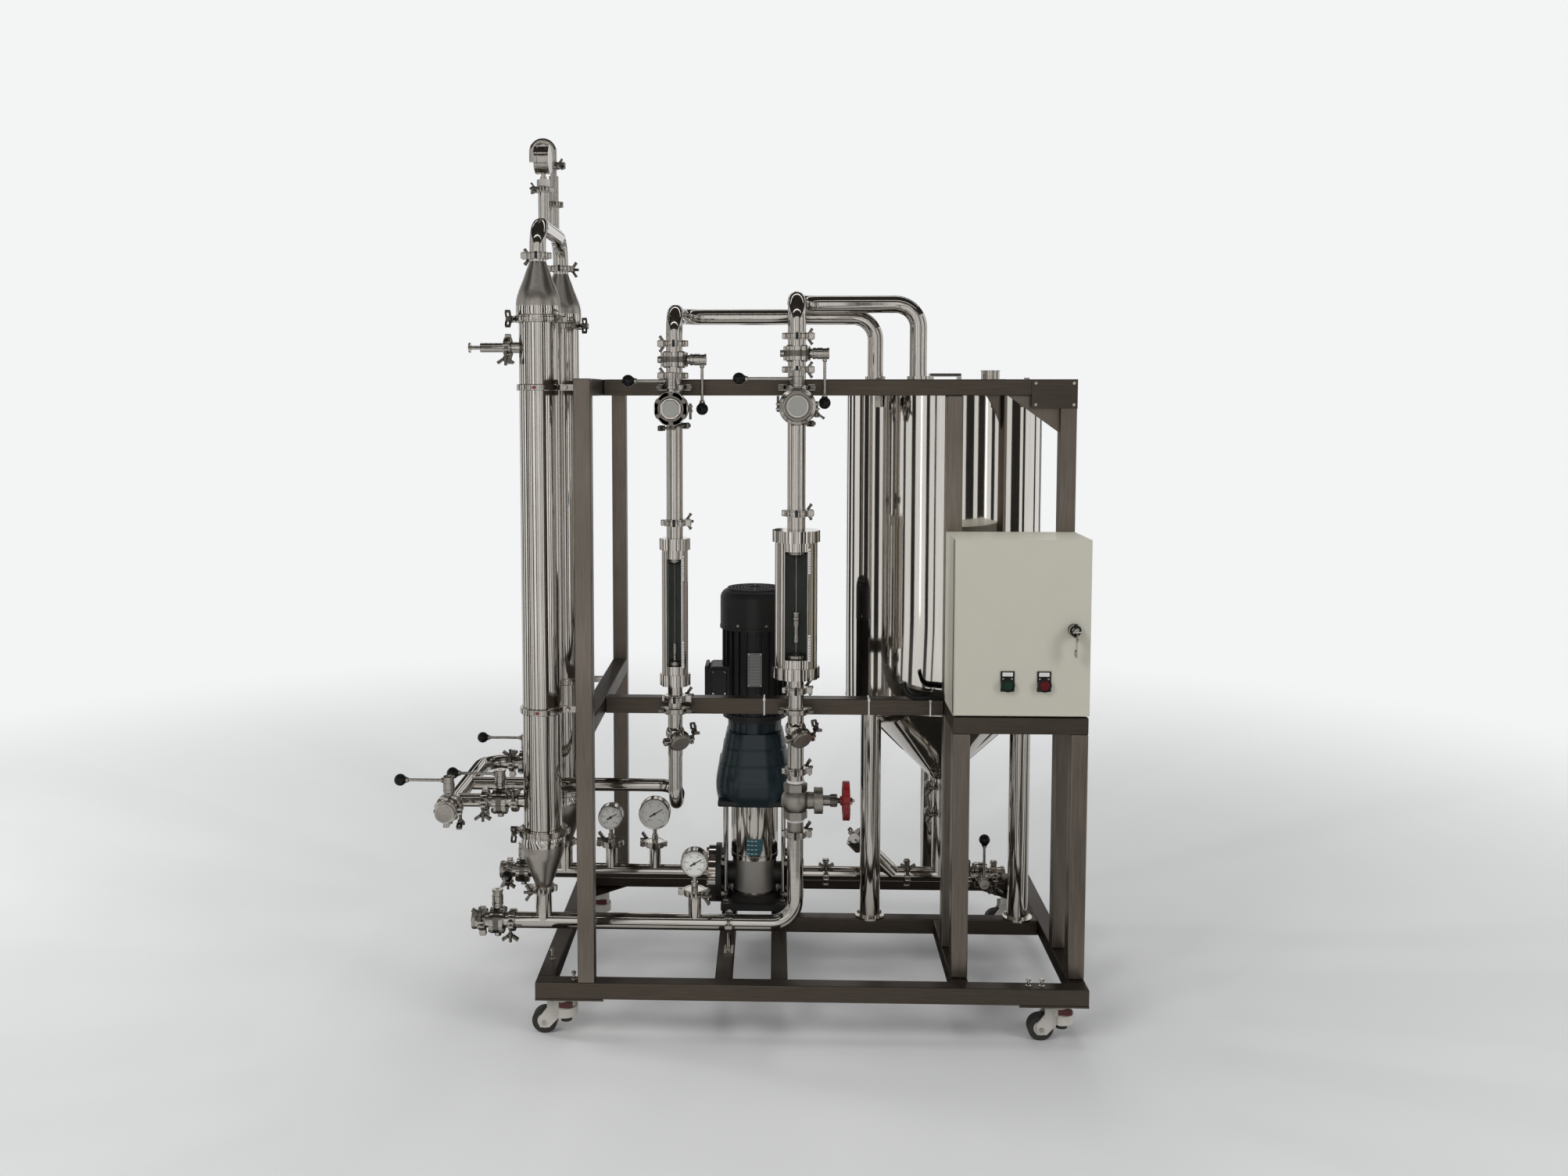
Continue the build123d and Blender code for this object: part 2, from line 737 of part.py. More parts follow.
def pump_hood():
    """The lantern between stages and motor: a swelling rounded square under a round neck."""
    sections = []
    for z, wide in hood_sections:
        sections.append(Pos(pump_x, rear_plane, stage_top + z) * RectangleRounded(wide, wide, wide * 0.34))
    skirt = loft(sections)
    neck = rod((pump_x, rear_plane, stage_top + hood_sections[-1][0] - 4), up,
               hood_top - stage_top - hood_sections[-1][0] + 4, hood_neck_d)
    return [fuse(skirt, neck)]


hood_neck_d = 138.0
hood_sections = ((0, 184.0), (22, 194.0), (50, 198.0), (90, 186.0), (130, 166.0), (182, 144.0))


def pump_motor():
    """The motor: finned body, fan cowl and terminal box."""
    fin_count = 24
    outline = Circle(motor_d / 2 - 8)
    for i in range(fin_count):
        outline += Rot(0, 0, 360 / fin_count * i) * Pos(motor_d / 2 - 8, 0) * Rectangle(12, 4)
    body = extrude(Pos(pump_x, rear_plane, hood_top + 12) * outline, motor_top - cowl_tall - hood_top - 12)
    flange = rod((pump_x, rear_plane, hood_top), up, 12, 165.0)
    cowl = rod((pump_x, rear_plane, motor_top - cowl_tall), up, cowl_tall, motor_d + 6)
    cowl = fillet(cowl.edges().filter_by(GeomType.CIRCLE).sort_by(Axis.Z)[-1], 24)
    box = bar(terminal_box_x, pump_x - 60, rear_plane - 45, rear_plane + 45, hood_top + 53, hood_top + 135)
    box = fillet(box.edges().filter_by(Axis.Y).sort_by(Axis.X)[:2], 14)
    return [fuse(flange, body, cowl, box)]


def suction_line():
    """From the tank outlet through a strainer to the pump, with a drain valve."""
    y = rear_plane
    z = port_height
    flange_x = pump_x + pump_port_reach
    run = pipe([(flange_x + 4, y, z), (suction_end_x - 40, y, z)], pipe_d)
    flange = rod((flange_x, y, z), right, flange_thick, flange_d)
    riser = rod((tank_x, y, z), up, outlet_height - 12 - z, pipe_d)
    slope = Vector(-1, 0, 1).normalized()
    foot = (tank_x - 119, y, z)
    strainer = rod(foot, slope, 118, pipe_d + 4)
    cap_plane = Plane(along(foot, slope, 108), x_dir=back, z_dir=slope)
    strainer_cap = extrude(cap_plane * RegularPolygon(strainer_cap_d / 2, 8), 34)
    joints = [clamp((x, y, z), right, up)
              for x in (flange_x + 86, tank_x - 83, drain_valve_x - 34, drain_valve_x + 34)]
    joints += [clamp((tank_x, y, zz), up, left) for zz in (outlet_height - 89, outlet_height - 19)]
    drain = valve_body((drain_valve_x, y, z), right, front)
    cap = rod((drain_valve_x + 40, y, z), right, 22, 44.0)
    return [fuse(run, flange, riser, strainer, strainer_cap, *joints, drain, cap)]


# Tank

def tank_shell():
    outer = rod((tank_x, rear_plane, tank_low), up, tank_high - tank_low, tank_d)
    inner = rod((tank_x, rear_plane, tank_low - 1), up, tank_high - tank_low + 2, tank_d - 2 * tank_wall)
    return [outer - inner]


def tank_cone():
    """The conical bottom, hollow, down to the outlet tube."""
    drop = tank_low - outlet_height
    outer = taper((tank_x, rear_plane, tank_low), down, drop, tank_d, pipe_d + 4)
    inner = taper((tank_x, rear_plane, tank_low), down, drop, tank_d - 2.9 * tank_wall, pipe_d - 1)
    neck = rod((tank_x, rear_plane, outlet_height), down, 12, pipe_d)
    return [outer - inner + (neck - rod((tank_x, rear_plane, outlet_height + 1), down, 14, pipe_d - 4))]


def tank_lid():
    plate = rod((tank_x, rear_plane, tank_high), up, lid_thick, tank_d + 4)
    dome = taper((tank_x, rear_plane, tank_high + lid_thick), up, lid_dome, tank_d - 30, tank_d - 150)
    seats = [rod((x, y, tank_high + lid_thick), up, tank_top - tank_high - lid_thick, d)
             for x, y, d in ((left_down_x, left_over_y, 50.0), (right_down_x, right_over_y, 54.0))]
    hole = rod((stub_x, rear_plane, tank_high - 1), up, lid_thick + 20, stub_bore)
    return [fuse(plate, dome, *seats) - hole]


tank_top = tank_high + lid_thick + lid_dome


def tank_legs():
    """Three legs cut to the cone, each on a foot plate."""
    cone = taper((tank_x, rear_plane, tank_low), down, tank_low - outlet_height, tank_d, pipe_d + 4)
    legs = []
    for turn in (90, 210, 330):
        x = tank_x + leg_circle * cos(radians(turn))
        y = rear_plane + leg_circle * sin(radians(turn))
        leg = rod((x, y, rail_top), up, tank_low - rail_top, leg_d) - cone
        foot = rod((x, y, rail_top), up, 5, leg_d + 22)
        legs.append(leg + foot)
    return legs


def tank_fittings():
    """Open stub, lifting handle and toggle clips round the lid."""
    top = tank_top
    stub = rod((stub_x, rear_plane, top), up, stub_tall, stub_d)
    stub -= rod((stub_x, rear_plane, top - 4), up, stub_tall + 8, stub_bore)
    start = tank_x - 37
    grip = bar(start, start + 80, rear_plane - 10, rear_plane + 10, top + 9, top + 16)
    ends = [bar(x, x + 10, rear_plane - 10, rear_plane + 10, top, top + 9) for x in (start, start + 70)]
    clips = []
    for turn in (45, 135, 225, 315):
        place = Pos(tank_x, rear_plane, 0) * Rot(0, 0, turn)
        reach = tank_d / 2
        clips.append(place * bar(reach + 2.3, reach + 12, -9, 9, tank_high - 60, tank_high + lid_thick + 4))
    return [stub, fuse(grip, *ends), *clips]


# Cabinet

def cabinet_body():
    x0 = cabinet_left
    z0 = middle_rail_top
    y1 = middle_plane_y
    y0 = y1 - cabinet_depth + door_thick
    w = cabinet_wall
    outer = bar(x0, x0 + cabinet_width, y0, y1, z0, z0 + cabinet_height)
    inner = bar(x0 + w, x0 + cabinet_width - w, y0 - 1, y1 - w, z0 + w, z0 + cabinet_height - w)
    return [outer - inner]


def cabinet_door():
    x0 = cabinet_left
    y0 = middle_plane_y - cabinet_depth
    z0 = middle_rail_top
    leaf = bar(x0, x0 + cabinet_width, y0, y0 + door_thick - joint_gap,
               z0 + door_clearance, z0 + cabinet_height)
    pieces = [leaf]
    bores = []
    for x in (start_x, stop_x):
        pieces.append(bar(x - 15, x + 15, y0 - 2, y0, button_z - 15, button_z + 30))
        pieces.append(rod((x, y0, button_z), front, 11, bezel_d))
        bores.append(rod((x, y0 + 8, button_z), front, 30, button_d + 0.6))
    pieces.append(rod((lock_x, y0, lock_z), front, 14, lock_d))
    bores.append(rod((lock_x, y0 - 6, lock_z), front, 12, 12.0))
    return [fuse(*pieces) - bores[0] - bores[1] - bores[2]]


button_z = middle_rail_top + 76
lock_z = middle_rail_top + 200


def button(x):
    y0 = middle_plane_y - cabinet_depth
    return [rod((x, y0 + 1, button_z), front, 14, button_d)]


def door_key():
    """The key in the lock with its mate hanging from it."""
    y0 = middle_plane_y - cabinet_depth
    shank = rod((lock_x, y0 - 6 - joint_gap, lock_z), front, 14, 10.0)
    head = bar(lock_x - 9, lock_x + 9, y0 - 34, y0 - 20, lock_z - 1.5, lock_z + 1.5)
    hanging = bar(lock_x - 1.5, lock_x + 1.5, y0 - 34, y0 - 24, lock_z - 58, lock_z)
    return [fuse(shank, head, hanging)]


# Casters

def caster_fork(x, y):
    """A levelling caster's housing: drum, low skirt, side arms and raised foot."""
    top = rail_underside - corner_plate - joint_gap
    drum_low = 2 * wheel_r + wheel_gap
    drum = rod((x, y, drum_low), up, top - drum_low, drum_d)
    inside = wheel_wide / 2 + fork_gap
    arms = []
    for side in (-1, 1):
        near = y + side * inside
        far = y + side * (inside + fork_wall)
        outline = Polyline((x - trail - 10, wheel_r - 12), (x - trail + 12, wheel_r - 12),
                           (x + 14, drum_low), (x + 14, top - 4),
                           (x - 12, top - 4), (x - trail - 10, wheel_r + 12), close=True)
        arm = extrude(Plane.XZ.offset(-min(near, far)) * make_face(outline), -fork_wall)
        arms.append(arm)
    skirt = rod((x + 3, y, skirt_low), up, drum_low - skirt_low, drum_d + 4)
    skirt = skirt & bar(x - 7, x + 40, y - 40, y + 40, skirt_low, drum_low)
    foot = rod((x + 7, y, 26), up, skirt_low - 26, foot_d)
    axle = rod((x - trail, y - inside - fork_wall, wheel_r), back, 2 * (inside + fork_wall), 8.0)
    return [fuse(drum, *arms, skirt, foot, axle)]


def caster_wheel(x, y):
    centre = Vector(x - trail, y - wheel_wide / 2, wheel_r)
    tyre = rod(centre, back, wheel_wide, 2 * wheel_r)
    tyre = chamfer(tyre.edges().filter_by(GeomType.CIRCLE), 2)
    return [tyre - rod(along(centre, front, 1), back, wheel_wide + 2, 8.0 + 0.1)]


swivel_points = {
    "front_left": (swivel_inset, swivel_inset),
    "front_right": (frame_width - swivel_inset, swivel_inset),
    "rear_left": (swivel_inset, frame_depth - swivel_inset),
    "rear_right": (frame_width - swivel_inset, frame_depth - swivel_inset),
}

# Each lever: the valve's centre, the ways its stem and its rod point, body diameter, rod length,
# and how far under the hub's top the rod sits
usual = (valve_body_d, lever_long, arm_drop)
levers = {
    "left_riser_lever": ((left_riser_x, front_plane, left_valve_z), right, down, *usual),
    "right_riser_lever": ((right_riser_x, front_plane, right_valve_z), right, down, *usual),
    "left_branch_lever": ((left_riser_x, branch_valve_y, left_branch_z), up, left, branch_body_d,
                          left_branch_lever_long, branch_arm_drop),
    "right_branch_lever": ((right_riser_x, branch_valve_y, right_branch_z), up, left, branch_body_d,
                           right_branch_lever_long, branch_arm_drop),
    "outlet_lever": ((manifold_x, outlet_valve_y, manifold_height), up, left, *usual),
    "front_port_lever": ((port_valve_x, front_plane, manifold_height), up, left, *usual),
    "rear_port_lever": ((port_valve_x, rear_plane, manifold_height), up, left, *usual),
    "front_header_lever": ((end_valve_x, front_plane, header_height), up, back, *usual),
    "rear_header_lever": ((end_valve_x, rear_plane, port_height), up, back, *usual),
    "drain_lever": ((drain_valve_x, rear_plane, port_height), front, up, *usual),
}

port_inner_end = port_valve_x + 36 + clamp_thick / 2 + joint_gap

nodes = {
    "base_long_rails": base_long_rails(),
    "base_depth_rails": base_depth_rails(),
    "base_cross_rails": base_cross_rails(),
    "corner_plates": corner_plates(),
    "left_posts": left_posts(),
    "left_rails": left_rails(),
    "cross_rails": cross_rails(),
    "table_posts": table_posts(),
    "table_top": table_top(),
    "front_column": [column(front_plane, port_inner_end, left, side_port())],
    "rear_column": [column(rear_plane, port_inner_end, right)],
    "pipe_brackets": column_brackets() + riser_brackets() + header_support(),
    "column_bend": column_bend(),
    "bend_fittings": bend_fittings(),
    "front_header": front_header(),
    "rear_header": rear_header(),
    "header_gauges": header_gauges(),
    "manifold": manifold(),
    "permeate_pipe": permeate_pipe(),
    "left_riser": left_riser(),
    "right_riser": right_riser(),
    "small_flow_meter": small_meter(),
    "large_flow_meter": large_meter(),
    "meter_windows": meter_windows(),
    "globe_valve": globe_valve(),
    "globe_handwheel": handwheel(),
    "pump_base": pump_base(),
    "pump_stages": pump_stages(),
    "pump_hood": pump_hood(),
    "pump_motor": pump_motor(),
    "suction_line": suction_line(),
    "tank_shell": tank_shell(),
    "tank_cone": tank_cone(),
    "tank_lid": tank_lid(),
    "tank_legs": tank_legs(),
    "tank_fittings": tank_fittings(),
    "cabinet_body": cabinet_body(),
    "cabinet_door": cabinet_door(),
    "start_button": button(start_x),
    "stop_button": button(stop_x),
    "door_key": door_key(),
}
for name, values in levers.items():
    nodes[name] = [lever(*values)]
for name, (x, y) in swivel_points.items():
    nodes["caster_fork_" + name] = caster_fork(x, y)
    nodes["caster_wheel_" + name] = caster_wheel(x, y)


def whole_box(pieces):
    """The limits of all the pieces together."""
    boxes = [piece.bounding_box() for piece in pieces]
    low = Vector(*[min(getattr(b.min, c) for b in boxes) for c in "XYZ"])
    high = Vector(*[max(getattr(b.max, c) for b in boxes) for c in "XYZ"])
    return low, high


low, high = whole_box([piece for pieces in nodes.values() for piece in pieces])
shift = Vector(-(low.X + high.X) / 2, -(low.Y + high.Y) / 2, -low.Z)

os.makedirs("parts", exist_ok=True)
for name, pieces in nodes.items():
    placed = [Pos(*shift) * piece for piece in pieces]
    shape = placed[0] if len(placed) == 1 else Compound(children=placed)
    export_step(shape, "parts/" + name + ".step")
print("shift", shift, "size", high - low, "nodes", len(nodes))
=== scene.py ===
from math import cos, pi, radians, sin

import bmesh
import bpy
from mathutils import Matrix, Vector


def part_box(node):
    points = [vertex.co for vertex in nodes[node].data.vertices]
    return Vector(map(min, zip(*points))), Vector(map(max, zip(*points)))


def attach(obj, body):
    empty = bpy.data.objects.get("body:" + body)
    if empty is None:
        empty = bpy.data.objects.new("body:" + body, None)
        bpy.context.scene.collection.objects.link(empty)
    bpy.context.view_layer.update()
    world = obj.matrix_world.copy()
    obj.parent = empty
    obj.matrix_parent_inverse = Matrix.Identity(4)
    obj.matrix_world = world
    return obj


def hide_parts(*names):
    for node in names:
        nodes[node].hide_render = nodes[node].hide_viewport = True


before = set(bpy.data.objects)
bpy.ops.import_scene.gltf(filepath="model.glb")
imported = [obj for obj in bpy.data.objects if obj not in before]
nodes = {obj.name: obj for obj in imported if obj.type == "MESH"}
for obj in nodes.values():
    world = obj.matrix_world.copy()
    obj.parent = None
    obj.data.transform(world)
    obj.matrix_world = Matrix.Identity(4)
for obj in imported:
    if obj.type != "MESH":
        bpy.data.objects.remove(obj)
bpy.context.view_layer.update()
scene = bpy.context.scene
scene.view_settings.view_transform = "Standard"

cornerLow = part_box("base_long_rails")[0]  # the frame's front left corner, 100 mm above the floor
railHeight = 0.1


def at(x, y, z):
    # millimetres from the frame's front left corner and the floor, to the model's metres
    return Vector((cornerLow.x + x / 1000, cornerLow.y + y / 1000, cornerLow.z - railHeight + z / 1000))


right = Vector((1, 0, 0))
left = -right
back = Vector((0, 1, 0))
front = -back
up = Vector((0, 0, 1))
down = -up
directions = {"right": right, "left": left, "back": back, "front": front, "up": up, "down": down}

# places that several pieces share, in the frame's millimetres
columnX = -10
leftRiser = 305
rightRiser = 588
frontLine = 190  # the pipework's two lines, from the front
rearLine = 530
tankSpot = (967, rearLine)
pumpSpot = (487, rearLine)


# shader sheets

class Wire:
    def __init__(self, sheet, socket):
        self.sheet = sheet
        self.socket = socket

    def maths(self, operation, other, swapped=False):
        pair = (other, self) if swapped else (self, other)
        return self.sheet.add("ShaderNodeMath", {"operation": operation}, {0: pair[0], 1: pair[1]})

    def __add__(self, other):
        return self.maths("ADD", other)

    def __radd__(self, other):
        return self.maths("ADD", other, True)

    def __mul__(self, other):
        return self.maths("MULTIPLY", other)

    def __rmul__(self, other):
        return self.maths("MULTIPLY", other, True)


class Finish:
    def __init__(self, name, **fixed):
        self.material = bpy.data.materials.new(name)
        self.material.use_nodes = True
        self.tree = self.material.node_tree
        self.shader = self.tree.nodes["Principled BSDF"]
        self.place = None
        self.put(**fixed)

    def add(self, kind, settings=None, inputs=None, output=0):
        node = self.tree.nodes.new(kind)
        for key, value in (settings or {}).items():
            setattr(node, key, value)
        for key, value in (inputs or {}).items():
            self.feed(node.inputs[key], value)
        return Wire(self, node.outputs[output])

    def feed(self, socket, value):
        if isinstance(value, Wire):
            self.tree.links.new(value.socket, socket)
        elif socket.type == "RGBA" and len(value) == 3:
            socket.default_value = (*value, 1)
        else:
            socket.default_value = value

    def put(self, **values):
        for key, value in values.items():
            self.feed(self.shader.inputs[key.replace("_", " ")], value)
        return self

    def where(self, stretch=(1, 1, 1)):
        if self.place is None:
            self.place = self.add("ShaderNodeTexCoord", output="Object")
        return self.add("ShaderNodeMapping", {}, {"Vector": self.place, "Scale": stretch})

    def noise(self, stretch, scale, detail=3.0, roughness=0.55):
        return self.add("ShaderNodeTexNoise", {}, {"Vector": self.where(stretch), "Scale": scale,
                                                   "Detail": detail, "Roughness": roughness}, "Fac")

    def mix(self, factor, first, second):
        settings = {"data_type": "RGBA"}
        return self.add("ShaderNodeMix", settings, {0: factor, 6: first, 7: second}, 2)

    def bump(self, height, strength, distance):
        return self.add("ShaderNodeBump", {}, {"Height": height, "Strength": strength, "Distance": distance})


axisStretch = {"x": (0.04, 1, 1), "y": (1, 0.04, 1), "z": (1, 1, 0.04), "all": (1, 1, 1)}


def steelFinish(name, axis, look):
    # stainless steel whose polishing marks run along one axis
    finish = Finish(name, Metallic=1.0)
    streaks = finish.noise(axisStretch[axis], look["grain"], 4.0, 0.6)
    clouds = finish.noise((1, 1, 1), 5.0, 2.0, 0.5)
    tone = finish.mix(streaks, look["dark"], look["light"])
    tone = finish.mix(clouds * look["stain"], tone, look["stained"])
    waves = finish.noise(axisStretch[axis], look["waves"], 1.0, 0.4)
    height = streaks * look["scratch"] + waves * look["wave"]
    finish.put(Base_Color=tone,
               Roughness=look["rough"] + streaks * look["roughSpread"] + clouds * look["roughCloud"],
               Normal=finish.bump(height, 1.0, 0.001))
    return finish.material


polished = {"dark": (0.46, 0.425, 0.385), "light": (0.80, 0.765, 0.715), "stained": (0.34, 0.305, 0.26),
            "stain": 0.5, "grain": 190.0, "waves": 22.0, "scratch": 0.015, "wave": 0.14, "rough": 0.03,
            "roughSpread": 0.07, "roughCloud": 0.03}
# satin: a dark brushed steel; on the frame's level tubes its darkness is painted shade
satin = {"dark": (0.056, 0.045, 0.035), "light": (0.165, 0.138, 0.112), "stained": (0.07, 0.056, 0.044),
         "stain": 0.6, "grain": 320.0, "waves": 30.0, "scratch": 0.08, "wave": 0.04, "rough": 0.24,
         "roughSpread": 0.20, "roughCloud": 0.10}
# painted light: a lighter copy of the same steel for the frame's upright tubes
litUpright = dict(satin, dark=(0.165, 0.138, 0.112), light=(0.40, 0.35, 0.295))
cast = {"dark": (0.42, 0.385, 0.345), "light": (0.72, 0.685, 0.63), "stained": (0.20, 0.175, 0.145),
        "stain": 0.5, "grain": 210.0, "waves": 70.0, "scratch": 0.06, "wave": 0.08, "rough": 0.07,
        "roughSpread": 0.10, "roughCloud": 0.06}
globeCast = dict(cast, dark=(0.30, 0.28, 0.25), light=(0.50, 0.47, 0.425), grain=420.0,
                 scratch=0.35, rough=0.26)
darkCast = dict(cast, dark=(0.11, 0.098, 0.085), light=(0.30, 0.275, 0.24),
                stained=(0.07, 0.06, 0.05), rough=0.14)
mirror = {"dark": (0.58, 0.55, 0.51), "light": (0.78, 0.75, 0.70), "stained": (0.42, 0.39, 0.35),
          "stain": 0.4, "grain": 130.0, "waves": 7.0, "scratch": 0.006, "wave": 0.55, "rough": 0.015,
          "roughSpread": 0.05, "roughCloud": 0.03}
bell = dict(polished, dark=(0.30, 0.27, 0.24), light=(0.58, 0.545, 0.495), rough=0.2, roughSpread=0.2)

steel = {axis: steelFinish("steel " + axis, axis, polished) for axis in "xyz"}
steel["all"] = steelFinish("steel fittings", "all", cast)
tubeSteel = {}
# painted light and shade: the frame's upright tubes take the lighter copy and its level tubes the darker one,
# though all are one steel
for axis in "xyz":
    tubeSteel[axis] = steelFinish("frame steel " + axis, axis, litUpright if axis == "z" else satin)
darkSteel = steelFinish("dark fittings", "all", darkCast)
roughCast = steelFinish("rough casting", "all", globeCast)
tankSteel = steelFinish("tank steel", "z", mirror)
satinBand = steelFinish("satin band", "all", bell)


def paintFinish(name, look):
    # paint or moulded plastic with a fine texture and a little dust
    finish = Finish(name, Coat_Roughness=0.25, Specular_IOR_Level=look.get("shine", 0.5))
    grain = finish.noise((1, 1, 1), look["grain"], 2.0, 0.6)
    dust = finish.noise((1, 1, 1), 14.0, 4.0, 0.6)
    tone = finish.mix(dust * look["dust"], look["colour"], look["dusty"])
    finish.put(Base_Color=tone, Roughness=look["rough"] + dust * 0.12,
               Normal=finish.bump(grain, look["bump"], 0.0004), Coat_Weight=look["coat"])
    return finish.material


motorBlack = paintFinish("motor black", {"colour": (0.006, 0.006, 0.0065), "dusty": (0.022, 0.020, 0.018),
                                         "dust": 0.5, "grain": 900.0, "bump": 0.25, "rough": 0.34,
                                         "coat": 0.0, "shine": 0.4})
hoodTeal = paintFinish("hood paint", {"colour": (0.004, 0.017, 0.022), "dusty": (0.014, 0.032, 0.038),
                                      "dust": 0.4, "grain": 700.0, "bump": 0.12, "rough": 0.16, "coat": 0.25,
                                      "shine": 0.35})
castBlack = paintFinish("pump foot black", {"colour": (0.007, 0.007, 0.007), "dusty": (0.03, 0.027, 0.024),
                                            "dust": 0.6, "grain": 500.0, "bump": 0.5, "rough": 0.42,
                                            "coat": 0.05})
cabinetGrey = paintFinish("cabinet paint", {"colour": (0.60, 0.58, 0.485), "dusty": (0.51, 0.485, 0.40),
                                            "dust": 0.35, "grain": 1400.0, "bump": 0.35, "rough": 0.42,
                                            "coat": 0.1})
redEnamel = paintFinish("red enamel", {"colour": (0.21, 0.004, 0.005), "dusty": (0.11, 0.005, 0.006),
                                       "dust": 0.6, "grain": 300.0, "bump": 0.4, "rough": 0.32, "coat": 0.2})
knobBlack = paintFinish("knob black", {"colour": (0.003, 0.003, 0.003), "dusty": (0.010, 0.010, 0.010),
                                       "dust": 0.4, "grain": 600.0, "bump": 0.05, "rough": 0.12, "coat": 0.0,
                                       "shine": 0.28})
casterWhite = paintFinish("caster white", {"colour": (0.68, 0.66, 0.60), "dusty": (0.36, 0.33, 0.28),
                                           "dust": 0.7, "grain": 500.0, "bump": 0.2, "rough": 0.4,
                                           "coat": 0.1})
casterRed = paintFinish("caster red", {"colour": (0.12, 0.012, 0.012), "dusty": (0.08, 0.03, 0.03),
                                       "dust": 0.6, "grain": 500.0, "bump": 0.2, "rough": 0.4, "coat": 0.1})
tyreBlack = paintFinish("tyre black", {"colour": (0.010, 0.010, 0.010), "dusty": (0.05, 0.046, 0.04),
                                       "dust": 0.8, "grain": 600.0, "bump": 0.4, "rough": 0.6, "coat": 0.0})
legendWhite = paintFinish("legend white", {"colour": (0.78, 0.77, 0.74), "dusty": (0.6, 0.58, 0.54),
                                           "dust": 0.3, "grain": 500.0, "bump": 0.1, "rough": 0.35,
                                           "coat": 0.2})
buttonGreen = paintFinish("green button", {"colour": (0.002, 0.026, 0.010), "dusty": (0.006, 0.026, 0.012),
                                           "dust": 0.4, "grain": 500.0, "bump": 0.1, "rough": 0.3,
                                           "coat": 0.0, "shine": 0.25})
buttonRed = paintFinish("red button", {"colour": (0.105, 0.003, 0.005), "dusty": (0.06, 0.006, 0.007),
                                       "dust": 0.4, "grain": 500.0, "bump": 0.1, "rough": 0.3, "coat": 0.0,
                                       "shine": 0.25})
dialWhite = paintFinish("dial white", {"colour": (0.80, 0.79, 0.75), "dusty": (0.68, 0.66, 0.6), "dust": 0.3,
                                       "grain": 400.0, "bump": 0.02, "rough": 0.3, "coat": 0.5})
inkBlack = paintFinish("ink black", {"colour": (0.02, 0.02, 0.02), "dusty": (0.05, 0.05, 0.05), "dust": 0.3,
                                     "grain": 400.0, "bump": 0.02, "rough": 0.4, "coat": 0.2})
labelBlue = paintFinish("sleeve label", {"colour": (0.012, 0.075, 0.11), "dusty": (0.04, 0.20, 0.22),
                                         "dust": 0.8, "grain": 400.0, "bump": 0.02, "rough": 0.3,
                                         "coat": 0.3})
platePale = paintFinish("blank plate", {"colour": (0.30, 0.30, 0.29), "dusty": (0.16, 0.16, 0.155),
                                        "dust": 0.8, "grain": 260.0, "bump": 0.4, "rough": 0.35, "coat": 0.0})
tapeWhite = paintFinish("thread tape", {"colour": (0.74, 0.73, 0.70), "dusty": (0.55, 0.53, 0.49),
                                        "dust": 0.4, "grain": 300.0, "bump": 0.6, "rough": 0.6, "coat": 0.0})
# near-black: painted shade in the clamps' splits, and the colour of the real dark joint lines
splitShadeJointDark = paintFinish("split shade and joint dark", {"colour": (0.006, 0.006, 0.006), "dusty": (0.02, 0.018, 0.016),
                                   "dust": 0.4, "grain": 300.0, "bump": 0.1, "rough": 0.5, "coat": 0.0})
rustMark = paintFinish("red mark", {"colour": (0.22, 0.02, 0.012), "dusty": (0.12, 0.02, 0.015), "dust": 0.5,
                                    "grain": 300.0, "bump": 0.1, "rough": 0.4, "coat": 0.1})
print("finishes ready")


# making meshes

def turnTo(axis, side=None):
    # a rotation that carries +Z to the axis, and +X towards the side if one is given
    z = Vector(axis).normalized()
    if side is None:
        side = Vector((1, 0, 0)) if abs(z.x) < 0.9 else Vector((0, 1, 0))
    x = (Vector(side) - z * z.dot(Vector(side))).normalized()
    y = z.cross(x)
    return Matrix((x, y, z)).transposed().to_4x4()


